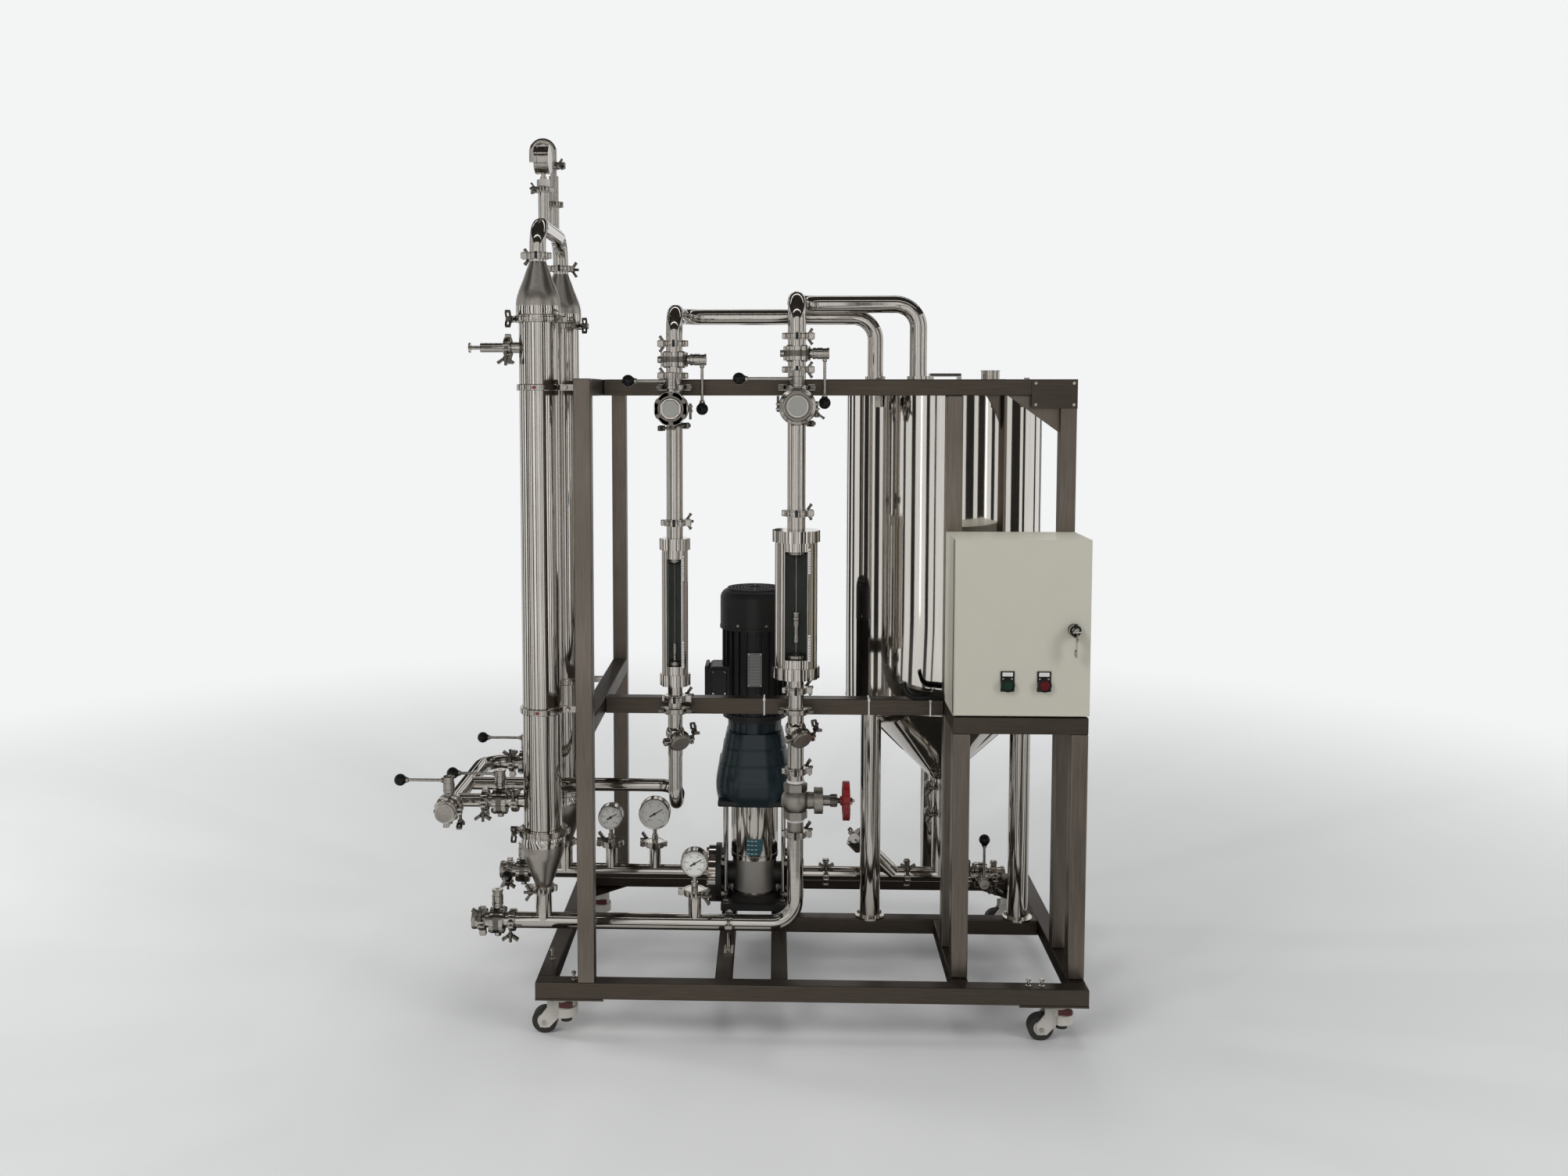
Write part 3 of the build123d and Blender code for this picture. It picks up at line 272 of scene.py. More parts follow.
class Maker:
    # gathers shapes into one mesh; sizes in millimetres, places in the model's metres
    def __init__(self):
        self.bm = bmesh.new()

    def keep(self, shape, point, axis, side):
        # turns and places a finished shape, then adds it to the rest
        matrix = Matrix.Translation(point) @ turnTo(axis, side) @ Matrix.Scale(0.001, 4)
        bmesh.ops.transform(shape, matrix=matrix, verts=shape.verts)
        mesh = bpy.data.meshes.new("shape")
        shape.to_mesh(mesh)
        shape.free()
        self.bm.from_mesh(mesh)
        bpy.data.meshes.remove(mesh)

    def turn(self, profile, point, axis=up, side=None, steps=32):
        # a chain of (radius, height) pairs spun round the axis
        shape = bmesh.new()
        chain = [shape.verts.new((r, 0, z)) for r, z in profile]
        edges = [shape.edges.new(pair) for pair in zip(chain, chain[1:])]
        bmesh.ops.spin(shape, geom=chain + edges, cent=(0, 0, 0), axis=(0, 0, 1), dvec=(0, 0, 0),
                       angle=2 * pi, steps=steps, use_merge=True, use_duplicate=False)
        bmesh.ops.remove_doubles(shape, verts=shape.verts, dist=0.001)
        self.keep(shape, point, axis, side)

    def block(self, size, point, axis=up, side=None, soft=0.0, rounds=2, corner=0.0):
        shape = bmesh.new()
        bmesh.ops.create_cube(shape, size=1.0, matrix=Matrix.Diagonal((*size, 1)))
        if corner:
            uprights = [e for e in shape.edges if abs(e.verts[0].co.z - e.verts[1].co.z) > 0.001]
            bmesh.ops.bevel(shape, geom=uprights, offset=corner, offset_type="OFFSET", affect="EDGES",
                            segments=10, profile=0.5, material=-1, clamp_overlap=True)
        if soft:
            bmesh.ops.bevel(shape, geom=shape.edges, offset=soft, offset_type="OFFSET", affect="EDGES",
                            segments=rounds, profile=0.5, material=-1, clamp_overlap=True)
        self.keep(shape, point, axis, side)

    def prism(self, radius, length, point, axis=up, side=None, sides=6, soft=0.4, waves=0.0, waveCount=0):
        # a bar of many sides from the point along the axis, its edge scalloped if waves are asked for
        shape = bmesh.new()
        made = bmesh.ops.create_circle(shape, cap_ends=True, radius=radius, segments=sides)
        if waves:
            for i, v in enumerate(made["verts"]):
                v.co *= 1 - waves / radius * (0.5 + 0.5 * cos(2 * pi * i / sides * waveCount)) ** 2
        self.push(shape, length, soft)
        self.keep(shape, point, axis, side)

    def plate(self, corners, thick, point, axis=up, side=None, soft=0.0):
        # a flat plate of the given corners, thickened along the axis
        shape = bmesh.new()
        shape.faces.new([shape.verts.new((x, y, 0)) for x, y in corners])
        self.push(shape, thick, soft)
        self.keep(shape, point, axis, side)

    def push(self, shape, length, soft):
        pushed = bmesh.ops.extrude_face_region(shape, geom=shape.faces[:])
        moved = [g for g in pushed["geom"] if isinstance(g, bmesh.types.BMVert)]
        bmesh.ops.translate(shape, verts=moved, vec=(0, 0, length))
        if soft:
            rims = [e for e in shape.edges if abs(e.verts[0].co.z - e.verts[1].co.z) < 0.001
                    and len(e.link_faces) == 2 and e.calc_face_angle(0) > 0.5]
            bmesh.ops.bevel(shape, geom=rims, offset=soft, offset_type="OFFSET", affect="EDGES", segments=1,
                            profile=0.5, material=-1, clamp_overlap=True)

    def rod(self, diameter, length, point, axis=up, steps=16, soft=0.5):
        r = diameter / 2
        self.turn([(0, 0), (r - soft, 0), (r, soft), (r, length - soft), (r - soft, length), (0, length)],
                  point, axis, None, max(steps, 20))

    def ball(self, diameter, point):
        shape = bmesh.new()
        bmesh.ops.create_uvsphere(shape, u_segments=28, v_segments=18, radius=diameter / 2)
        self.keep(shape, point, up, None)

    def wire(self, points, diameter, steps=4):
        # a round run through points in the model's metres
        curve = bpy.data.curves.new("run", "CURVE")
        curve.dimensions = "3D"
        curve.bevel_depth = diameter / 2000
        curve.bevel_resolution = steps
        curve.use_fill_caps = True
        spline = curve.splines.new("BEZIER")
        spline.bezier_points.add(len(points) - 1)
        for knot, point in zip(spline.bezier_points, points):
            knot.co = point
            knot.handle_left_type = "AUTO"
            knot.handle_right_type = "AUTO"
        self.fromCurve(curve, Matrix.Identity(4))

    def words(self, text, size, point, axis, side):
        # plain figures, made a mesh and laid on a face
        curve = bpy.data.curves.new("figure", "FONT")
        curve.body = text
        curve.size = size
        curve.align_x = "CENTER"
        curve.align_y = "CENTER"
        curve.extrude = 0.05
        self.fromCurve(curve, Matrix.Translation(point) @ turnTo(axis, side) @ Matrix.Scale(0.001, 4))

    def fromCurve(self, curve, matrix):
        holder = bpy.data.objects.new("run", curve)
        scene.collection.objects.link(holder)
        bpy.context.view_layer.update()
        mesh = bpy.data.meshes.new_from_object(holder)
        bpy.data.objects.remove(holder)
        mesh.transform(matrix)
        self.bm.from_mesh(mesh)
        bpy.data.meshes.remove(mesh)

    def finish(self, name, material, body, slotName, crease=20):
        bmesh.ops.recalc_face_normals(self.bm, faces=self.bm.faces)
        mesh = bpy.data.meshes.new(name)
        self.bm.to_mesh(mesh)
        self.bm.free()
        mesh.shade_smooth()
        mesh.set_sharp_from_angle(angle=radians(crease))
        piece = bpy.data.objects.new(name, mesh)
        scene.collection.objects.link(piece)
        mesh.materials.append(material)
        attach(piece, body)
        return piece


def along(point, axis, distance):
    return point + axis * (distance / 1000)


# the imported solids' own finishes

nodeFinish = {"base_long_rails": tubeSteel["x"], "base_depth_rails": tubeSteel["y"],
              "base_cross_rails": tubeSteel["x"], "corner_plates": tubeSteel["x"],
              "left_posts": tubeSteel["z"], "left_rails": tubeSteel["y"], "cross_rails": tubeSteel["x"],
              "table_posts": tubeSteel["z"], "table_top": tubeSteel["x"], "front_column": steel["z"],
              "rear_column": steel["z"], "column_bend": steel["y"], "bend_fittings": steel["all"],
              "front_header": steel["x"], "rear_header": steel["x"], "header_gauges": steel["all"],
              "manifold": steel["y"], "permeate_pipe": steel["x"], "left_riser": steel["z"],
              "right_riser": steel["z"], "small_flow_meter": steel["z"], "large_flow_meter": steel["z"],
              "globe_valve": roughCast, "pipe_brackets": steel["all"], "pump_stages": steel["z"],
              "suction_line": steel["x"], "tank_shell": tankSteel, "tank_cone": tankSteel,
              "tank_lid": steel["all"], "tank_legs": steel["z"], "tank_fittings": steel["all"],
              "globe_handwheel": redEnamel, "pump_base": castBlack, "pump_motor": motorBlack,
              "pump_hood": hoodTeal, "cabinet_body": cabinetGrey, "cabinet_door": cabinetGrey,
              "start_button": buttonGreen, "stop_button": buttonRed, "door_key": steel["all"], }
for name, node in nodes.items():
    finish = nodeFinish.get(name)
    if name.startswith("caster_fork"):
        finish = casterWhite
    elif name.startswith("caster_wheel"):
        finish = tyreBlack
    elif name.endswith("_lever"):
        finish = steel["all"]
    if finish:
        node.data.materials.clear()
        node.data.materials.append(finish)


# frame tubes: rounded along their edges, so that each shows its bright corner lines

tubeLook = {"corner": 2.4, "rounds": 2}

# x, y and z limits of each tube, in the frame's millimetres
frameTubes = {
    "base_long_rails": [(0, 1240, 0, 38, 100, 138), (0, 1240, 710, 748, 100, 138)],
    "base_depth_rails": [(0, 38, 38, 710, 100, 138), (404.5, 442.5, 38, 710, 100, 138),
                         (531.5, 569.5, 38, 710, 100, 138), (1202, 1240, 38, 710, 100, 138)],
    "base_cross_rails": [(569.5, 1202, 403.5, 441.5, 100, 138), (939, 977, 38, 403.5, 100, 138)],
    "left_posts": [(97, 135, 0, 38, 138, 1494), (97, 135, 710, 748, 138, 1494)],
    "left_rails": [(97, 135, 38, 710, 700, 738), (97, 135, 38, 710, 1456, 1494)],
    "cross_rails": [(135, 939, 230, 268, 700, 738), (135, 1240, 230, 268, 1456, 1494)],
    "table_posts": [(939, 977, 55, 93, 138, 700), (1202, 1240, 55, 93, 138, 700),
                    (939, 977, 230, 268, 138, 1456), (1202, 1240, 230, 268, 138, 1456)],
    "table_top": [(939, 1240, 55, 93, 700, 738), (939, 977, 93, 230, 700, 738),
                  (1202, 1240, 93, 230, 700, 738), (977, 1202, 230, 268, 700, 738)],
}
for nodeName, tubes in frameTubes.items():
    makers = {}
    for x0, x1, y0, y1, z0, z1 in tubes:
        size = (x1 - x0, y1 - y0, z1 - z0)
        run = "xyz"[size.index(max(size))]
        maker = makers.setdefault(run, Maker())
        maker.block(size, at((x0 + x1) / 2, (y0 + y1) / 2, (z0 + z1) / 2), up, right, tubeLook["corner"],
                    tubeLook["rounds"])
    if nodeName == "cross_rails":
        makers["x"].block((106, 3, 68), at(1187, 228.5, 1460), up, right, 0.5)
    if nodeName == "table_posts":
        makers["z"].plate([(0, 0), (-120, 0), (0, -86)], 4, at(1202, 251, 1456), front, right, 0.5)
    for number, (run, maker) in enumerate(makers.items()):
        piece = maker.finish(nodeName + "_" + run, tubeSteel[run], "unit", "frame_steel")
        if number == 0:
            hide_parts(nodeName)
print("frame tubes done")


# clamps: rolled band with a split, lugs, and a swing bolt with its wing nut on each pipe joint

clampLook = {"band": 53.4, "half": 7.6, "bolt": 7.0, "boltLong": 52.0, "wingSpan": 14.0, "wingThick": 6.0,
             "split": 6.5}

# x, y, z of the joint, the pipe's direction, the lug's side, the bolt's side, the way the wing nut points,
# and the band's diameter if it is another
clampSpots = [
    (columnX, frontLine, 426, "up", "left", "left", "front", 116),
    (columnX, frontLine, 1632, "up", "left", "left", "front", 116),
    (columnX, rearLine, 426, "up", "left", "left", "front", 116),
    (columnX, rearLine, 1632, "up", "right", "right", "front", 116),
    (columnX, frontLine, 287, "up", "left", "front", "left", 0),
    (columnX, frontLine, 1778, "up", "left", "back", "left", 0),
    (columnX, rearLine, 287, "up", "left", "back", "left", 0),
    (columnX, rearLine, 1778, "up", "left", "back", "right", 0),
    (columnX, 280, 1941, "up", "left", "front", "left", 34),
    (columnX, 430, 1926, "up", "left", "front", "left", 34),
    (columnX, 430, 2021, "up", "right", "front", "right", 34),
    (-81, frontLine, 1567, "right", "down", "front", "down", 50),
    (-157, frontLine, 208, "right", "down", "front", "up", 0),
    (-85, frontLine, 208, "right", "back", "front", "down", 0),
    (-157, rearLine, 210, "right", "down", "front", "down", 0),
    (-85, rearLine, 210, "right", "back", "front", "up", 0),
    (350, frontLine, 282, "up", "left", "front", "right", 0),
    (111, rearLine, 284, "up", "left", "back", "left", 0),
    (226, rearLine, 284, "up", "left", "back", "left", 0),
    (rightRiser, frontLine, 425, "up", "right", "back", "right", 0),
    (-147, frontLine, 498, "right", "down", "front", "down", 0),
    (-75, frontLine, 498, "right", "back", "front", "up", 0),
    (-147, rearLine, 498, "right", "down", "front", "up", 0),
    (-75, rearLine, 498, "right", "back", "front", "down", 0),
    (-220, 103, 498, "back", "down", "right", "down", 0),
    (leftRiser, frontLine, 747, "up", "right", "back", "right", 0),
    (leftRiser, frontLine, 1161, "up", "right", "back", "right", 0),
    (leftRiser, frontLine, 1502, "up", "left", "back", "left", 0),
    (leftRiser, frontLine, 1576, "up", "left", "back", "left", 0),
    (leftRiser, 122, 1427, "back", "right", "down", "right", 64),
    (rightRiser, frontLine, 768, "up", "right", "back", "right", 0),
    (rightRiser, frontLine, 576, "up", "right", "back", "right", 0),
    (rightRiser, frontLine, 1184, "up", "right", "back", "right", 56),
    (rightRiser, frontLine, 1516, "up", "right", "back", "right", 56),
    (rightRiser, frontLine, 1593, "up", "right", "back", "right", 56),
    (rightRiser, 122, 1432, "back", "right", "down", "right", 64),
    (673, rearLine, 210, "right", "up", "front", "up", 0),
    (884, rearLine, 210, "right", "up", "front", "up", 0),
    (1041, rearLine, 210, "right", "up", "front", "up", 0),
    (1109, rearLine, 210, "right", "up", "front", "down", 0),
    (967, rearLine, 378, "up", "left", "front", "left", 0),
    (967, rearLine, 448, "up", "left", "front", "left", 0),
]


def wingNut(maker, point, axis, spread, scale):
    # a hub with two flared wings, each an open loop
    look = clampLook
    maker.turn([(0, 0), (6.2 * scale, 0), (6.8 * scale, 1.5), (6.0 * scale, 10), (4.4 * scale, 11), (0, 11)],
               point, axis, spread, 20)
    across = axis.cross(spread)
    for turn in (1, -1):
        out = spread * turn
        slope = (out + axis * 0.7).normalized()
        middle = along(along(point, axis, 10 * scale), out, (4 + look["wingSpan"] / 2) * scale)
        for edge in (1, -1):
            maker.block((look["wingSpan"] * scale, look["wingThick"] * scale, 4.6 * scale),
                        along(middle, across, edge * 4.6 * scale), across, slope, 0.9)
        tip = along(middle, slope, look["wingSpan"] / 2 * scale)
        maker.block((4.4 * scale, look["wingThick"] * 1.2 * scale, 12.6 * scale), tip, across, slope, 1.2)


def clampBand(maker, dark, swing, point, axis, lug, bolt, nut, diameter):
    look = clampLook
    r = (diameter or look["band"] - 1.4) / 2 + 0.7
    w = look["half"]
    scale = 0.7 if r < 20 else 1.0
    maker.turn([(r - 6, -w), (r - 1.8, -w), (r, -w * 0.5), (r, w * 0.5), (r - 1.8, w), (r - 6, w)],
               point, axis, lug, 56)
    maker.block((17.5, 13.6, 2 * w), along(point, lug, r + 3.6), axis, lug, 2.2)
    maker.rod(6.4, 2 * w + 3, along(along(point, lug, r + 6), axis, -w - 1.5), axis, 14)
    maker.block((9, 12, 2 * w - 1), along(point, -lug, r + 1.2), axis, lug, 2.2)
    # painted shade: a dark block fills the band's split, where shade falls in the gap
    split = along(point, -bolt, r - 1.2)
    dark.block((5.0, look["split"], 2 * w + 0.8), split, axis, bolt, 0.4)
    for turn in (1, -1):
        ear = along(along(point, bolt, r + 4.5 * scale), nut, turn * 5 * scale)
        maker.block((11 * scale, 5 * scale, 2 * w - 1), ear, axis, bolt, 1.4)
    start = along(along(point, bolt, r + 6 * scale), nut, -10 * scale)
    swing.rod(look["bolt"] * scale, look["boltLong"] * scale, start, nut, 14)
    swing.prism(5.4 * scale, 4.2 * scale, along(start, nut, -1), nut, axis)
    wingNut(swing, along(start, nut, 31 * scale), nut, axis, scale)


maker = Maker()
dark = Maker()
swing = Maker()
facings = Maker()
for x, y, z, axisName, lugName, boltName, nutName, diameter in clampSpots:
    clampBand(maker, dark, swing, at(x, y, z), directions[axisName], directions[lugName],
              directions[boltName], directions[nutName], diameter)

# the sloping branches under the flow meters have their clamps on the slope
branchLook = {"slope": (0.38, -0.78, -0.5), "cap": 44.6, "capOut": 12.0}

# the riser, the branch's height on it and the joint's distance down the slope
branches = [(leftRiser, 664, 27.2), (rightRiser, 675, 30.4)]
slope = Vector(branchLook["slope"]).normalized()
level = slope.cross(up).normalized()
for x, z, out in branches:
    joint = along(at(x, frontLine, z), slope, out)
    clampBand(maker, dark, swing, joint, slope, level, -level, slope.cross(level) * -1, 0)
    capR = branchLook["cap"] / 2
    capOut = branchLook["capOut"]
    facings.turn([(0, 0), (capR, 0), (capR, capOut - 1.5), (capR - 1.5, capOut), (0, capOut)],
                 joint, slope, level, 40)
maker.finish("pipe_clamps", steel["all"], "unit", "polished_steel")
swing.finish("swing_bolts", darkSteel, "unit", "polished_steel")
facings.finish("slope_caps", satinBand, "unit", "polished_steel")
# the splits' dark fill is painted shade
dark.finish("clamp_split_shade", splitShadeJointDark, "unit", "polished_steel")
print("clamps done")


# butterfly valves: fluted bodies on the root, levers on their own bodies

valveLook = {"long": 32.0, "flange": 9.0, "flutes": 12, "deep": 4.4, "hub": 27.0, "hubLong": 38.0, "rod": 7.0,
             "knob": 28.0, "neck": 5.3, "small": 62}

# centre, the line's direction, the ways the stem and the rod point, body's diameter, rod's length and drop
valves = {
    "left_riser_lever": ((leftRiser, frontLine, 1539), "up", "right", "down", 62, 114, 10),
    "right_riser_lever": ((rightRiser, frontLine, 1553), "up", "right", "down", 62, 114, 10),
    "left_branch_lever": ((leftRiser, 92, 1427), "back", "up", "left", 76, 97, 19),
    "right_branch_lever": ((rightRiser, 92, 1432), "back", "up", "left", 76, 131, 19),
    "outlet_lever": ((-220, 130, 498), "back", "up", "left", 62, 114, 10),
    "front_port_lever": ((-111, frontLine, 498), "right", "up", "left", 62, 114, 10),
    "rear_port_lever": ((-111, rearLine, 498), "right", "up", "left", 62, 114, 10),
    "front_header_lever": ((-121, frontLine, 208), "right", "up", "back", 62, 114, 10),
    "rear_header_lever": ((-121, rearLine, 210), "right", "up", "back", 62, 114, 10),
    "drain_lever": ((1075, rearLine, 210), "right", "front", "up", 62, 114, 10),
}


def bolt(maker, point, axis, size, long=0.0):
    # a washer, a shank and a hexagon head
    maker.rod(size * 2.1, 1.4, point, axis, 20, 0.3)
    if long:
        maker.rod(size, long + 2, point, axis, 14, 0.3)
    maker.prism(size * 0.95, size * 0.75, along(point, axis, 1.2 + long), axis)


def valveBody(maker, dark, point, axis, stem, diameter):
    look = valveLook
    r = diameter / 2 + 0.8
    for start in (-look["long"] / 2 - 0.4, look["long"] / 2 + 0.4 - look["flange"]):
        maker.prism(r, look["flange"], along(point, axis, start), axis, stem, 96, 0.8, look["deep"],
                    look["flutes"])
    dark.turn([(r - 8, -8), (r - 0.4, -6.6), (r - 0.4, 6.6), (r - 8, 8)], point, axis, stem, 48)
    for i in range(4):
        turn = pi / 4 + i * pi / 2
        side = stem * cos(turn) + axis.cross(stem) * sin(turn)
        place = along(along(point, side, r - 5), axis, -look["long"] / 2 - 3)
        dark.prism(5.0, look["long"] + 6, place, axis, side)
    maker.rod(16, 11, along(point, -stem, r - 4), -stem, 20, 1.2)
    maker.turn([(8, 0), (11, 0), (11, 4.6), (8, 4.6)], along(point, stem, diameter / 2), stem, axis, 24)


def leverPiece(name, point, stem, reach, diameter, long, drop):
    look = valveLook
    foot = along(point, stem, diameter / 2 + look["neck"])
    maker = Maker()
    r = look["hub"] / 2
    high = look["hubLong"]
    slot = high - drop
    maker.turn([(0, 0), (r - 1, 0), (r, 1), (r, 7), (r - 1.4, 7.6), (r - 1.4, 9.4), (r, 10), (r, slot - 5.2),
                (r - 1.4, slot - 4.6), (r - 1.4, slot + 4.6), (r, slot + 5.2), (r, high - 1), (r - 1.2, high),
                (5, high), (4.4, high - 2.5), (0, high - 2.5)], foot, stem, reach, 40)
    armStart = along(foot, stem, slot)
    maker.rod(look["rod"], long - 6, armStart, reach, 16)
    maker.turn([(3.5, r - 1), (5.6, r), (5.6, r + 4), (3.5, r + 6)], armStart, reach, stem, 20)
    maker.turn([(3.5, long - 21), (6, long - 19), (6, long - 13), (3.5, long - 11)], armStart,
               reach, stem, 20)
    metal = maker.finish(name + "_arm", steel["all"], name, "lever_steel")
    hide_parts(name)
    knob = Maker()
    knob.ball(look["knob"], along(armStart, reach, long))
    knob.turn([(3.6, -14.5), (7.2, -14.5), (7.8, -12), (7.2, -10), (3.6, -10)], along(armStart, reach, long),
              reach, stem, 24)
    knob.finish(name + "_knob", knobBlack, name, "lever_steel")


maker = Maker()
dark = Maker()
for name, (spot, axisName, stemName, reachName, diameter, long, drop) in valves.items():
    centre = at(*spot)
    if diameter == valveLook["small"]:  # the larger ones have rings of their own, further down
        valveBody(maker, dark, centre, directions[axisName], directions[stemName], diameter)
    leverPiece(name, centre, directions[stemName], directions[reachName], diameter, long, drop)
maker.finish("valve_bodies", steel["all"], "unit", "polished_steel")
dark.finish("valve_waists", darkSteel, "unit", "polished_steel")
print("valves done")


# satin bells over the columns' tapering ends

# each end's joint and the way it tapers, and the bell's radius at each distance from the joint
bellLook = {"joints": ((426, down), (1632, up)),
            "profile": ((8.5, 50.2), (14, 50.9), (36, 51.2), (46, 49.9), (55, 47.7), (65, 44.3), (74, 40.8),
                        (90, 34.3), (109, 27.8), (122, 22.6), (131, 19.7))}
maker = Maker()
for y in (frontLine, rearLine):
    for z, way in bellLook["joints"]:
        maker.turn([(r, rise) for rise, r in bellLook["profile"]], at(columnX, y, z), way, front, 56)
maker.finish("column_bells", satinBand, "unit", "polished_steel")


# capped branches that face the front, and the caps on the other line ends

capLook = {"rise": 1.6, "lip": 22.8}
caps = [((-181, frontLine, 208), "left"), ((-181, rearLine, 210), "left"), ((-220, 78, 498), "front"),
        ((1137, rearLine, 210), "right")]
maker = Maker()
for spot, side in caps:
    maker.turn([(0, capLook["rise"]), (14, capLook["rise"] * 0.8), (19.5, 0.6), (capLook["lip"], -2),
                (capLook["lip"], -9), (20.5, -10), (0, -10)], at(*spot), directions[side], up, 48)
maker.finish("line_caps", satinBand, "unit", "polished_steel")

# left branch: a bolted ring with an eight-sided cap; right branch: a polished band and a round cap
dark = Maker()
bright = Maker()
pale = Maker()
swing = Maker()
ringY = 76
leftSpot = at(leftRiser, ringY, 1427)
rightSpot = at(rightRiser, ringY, 1432)
dark.prism(38.8, 33, along(leftSpot, back, 33), front, up, 72, 1.2, 1.8, 8)
for i in range(6):
    turn = radians(30 + 60 * i)
    side = right * cos(turn) + up * sin(turn)
    bolt(dark, along(leftSpot, side, 33), front, 5.5)
dark.turn([(25, 0), (29, 0), (29, 6), (25, 6)], leftSpot, front, up, 48)
pale.prism(18.6, 11.0, leftSpot, front, Vector((cos(pi / 8), 0, sin(pi / 8))), 8, 0.6)
bright.turn([(17, 10.6), (19.4, 10.7), (25.0, 8.4), (25.4, 1), (20, 0)], leftSpot, front,
            Vector((cos(pi / 8), 0, sin(pi / 8))), 8)
bright.turn([(30, -33), (40.8, -31.5), (40.8, -13), (37, -11.5), (41.6, -10), (42.2, -4), (40.5, -1),
             (34.5, 2.6), (31, 0.8)], rightSpot, front, up, 72)
pale.turn([(0, 10.6), (20.5, 10.6), (23.4, 8.6), (23.6, 0), (0, 0)], rightSpot, front, up, 60)
for spot, ears in ((leftSpot, ((0.0, 1.0), (-90.0, 1.0))), (rightSpot, ((180.0, 1.0), (0.0, 1.2)))):
    target = dark if spot is leftSpot else bright
    for turn, scale in ears:
        side = right * cos(radians(turn)) + up * sin(radians(turn))
        level = side.cross(front)
        for edge in (1, -1):
            place = along(along(along(spot, side, 42), level, edge * 5.5), back, 8)
            target.block((13 * scale, 4.6, 13), place, front, side, 1.4)
        rodStart = along(along(along(spot, side, 43.5), level, -12), back, 8)
        swing.rod(6, 36, rodStart, level, 14)
        if scale > 1 or turn < -45:
            wingNut(swing, along(rodStart, level, 25), level, front if turn else side, 0.9)
darkRing = dict(satin, dark=(0.20, 0.18, 0.155), light=(0.42, 0.385, 0.34), rough=0.22)
dark.finish("left_branch_ring", steelFinish("dark ring", "all", darkRing), "unit", "polished_steel")
bright.finish("right_branch_ring", steel["all"], "unit", "polished_steel")
swing.turn([(24.4, 0.2), (30.2, 0.2), (30.2, 1.6), (24.4, 1.6)], rightSpot, front, up, 60)
swing.finish("branch_bolts", darkSteel, "unit", "polished_steel")
paleCap = dict(cast, dark=(0.40, 0.40, 0.37), light=(0.52, 0.52, 0.48),
               stained=(0.36, 0.36, 0.33), rough=0.34)
pale.finish("branch_caps", steelFinish("cap steel", "all", paleCap), "unit", "polished_steel")
print("branches done")


# saddles, support rings and their bolts

saddleLook = {"bolt": 6.0, "low": 719, "high": 1475, "supportX": 431}
legLook = {"out": 215, "turns": (90, 210, 330), "top": 143, "bolts": 3, "boltOut": 31}

# the riser, the saddle's height and the pipe's diameter there
saddles = [(leftRiser, saddleLook["low"], 34), (leftRiser, saddleLook["high"], 38),
           (rightRiser, saddleLook["low"], 38), (rightRiser, saddleLook["high"], 42)]

# x, y, z and length of the bolts that stand on the base rails
baseBolts = [(19, 130, 138, 20), (86, 19, 138, 13), (1108, 19, 138, 11), (1138, 19, 138, 11)]
maker = Maker()
bolts = Maker()
for x, z, size in saddles:
    r = size / 2 + 10
    maker.turn([(size / 2 + 0.4, -7.4), (size / 2 + 9.6, -7.4), (size / 2 + 10.8, -5), (size / 2 + 10.8, 5),
                (size / 2 + 9.6, 7.4), (size / 2 + 0.4, 7.4), (size / 2 + 0.4, -7.4)], at(x, frontLine, z),
               up, right, 48)
    for side in (left, right):
        ear = along(at(x, frontLine, z), side, r + 4)
        bolts.block((13, 17, 11), ear, up, side, 1.6)
        bolt(bolts, along(along(ear, side, 3), front, 8), front, saddleLook["bolt"], 4)
        bolt(bolts, along(along(ear, side, 3), back, 8), back, saddleLook["bolt"], 2)
for y in (frontLine, rearLine):
    for z in (saddleLook["low"], saddleLook["high"]):
        maker.turn([(47, -7.6), (50, -7.6), (51, -6), (51, 6), (50, 7.6), (47, 7.6), (47, -7.6)],
                   at(columnX, y, z), up, right, 72)
        for edge in (front, back):
            bolt(maker, along(at(52, y, z), edge, 6), edge, 6.0, 3)
for side in (front, back):
    bolt(maker, along(at(saddleLook["supportX"], frontLine, 212), side, 27), up, 6.0, 9)
    bolt(maker, along(at(saddleLook["supportX"], frontLine, 143), side, 18), up, 5.0, 1)
maker.turn([(23, -8.4), (25, -8.4), (25, 8.4), (23, 8.4), (23, -8.4)],
           at(saddleLook["supportX"], frontLine, 208), right, up, 48)
for turn in legLook["turns"]:
    centre = at(tankSpot[0] + legLook["out"] * cos(radians(turn)),
                tankSpot[1] + legLook["out"] * sin(radians(turn)), legLook["top"])
    for i in range(legLook["bolts"]):
        spread = radians(turn + 60 + 120 * i)
        bolt(maker, along(centre, Vector((cos(spread), sin(spread), 0)), legLook["boltOut"]), up, 4.5)
for x, y, z, long in baseBolts:
    bolt(maker, at(x, y, z), up, 6.0, long)
maker.finish("brackets_and_bolts", steel["all"], "unit", "polished_steel")
bolts.finish("saddle_bolts", darkSteel, "unit", "polished_steel")
maker = Maker()
for y in (frontLine, rearLine):
    for z in (saddleLook["low"], saddleLook["high"]):
        maker.block((9, 1.2, 6), at(-13, y - 51.2, z), up, right, 0.5)
maker.finish("ring_marks", rustMark, "unit", "polished_steel")
print("brackets done")


# dial gauges: bezel, dial, ticks, figures and needle

gaugeLook = {"bezel": 3.6, "ticks": 50, "sweep": 270.0, "figures": 5, "tickLong": 3.8, "tickShort": 2.2}

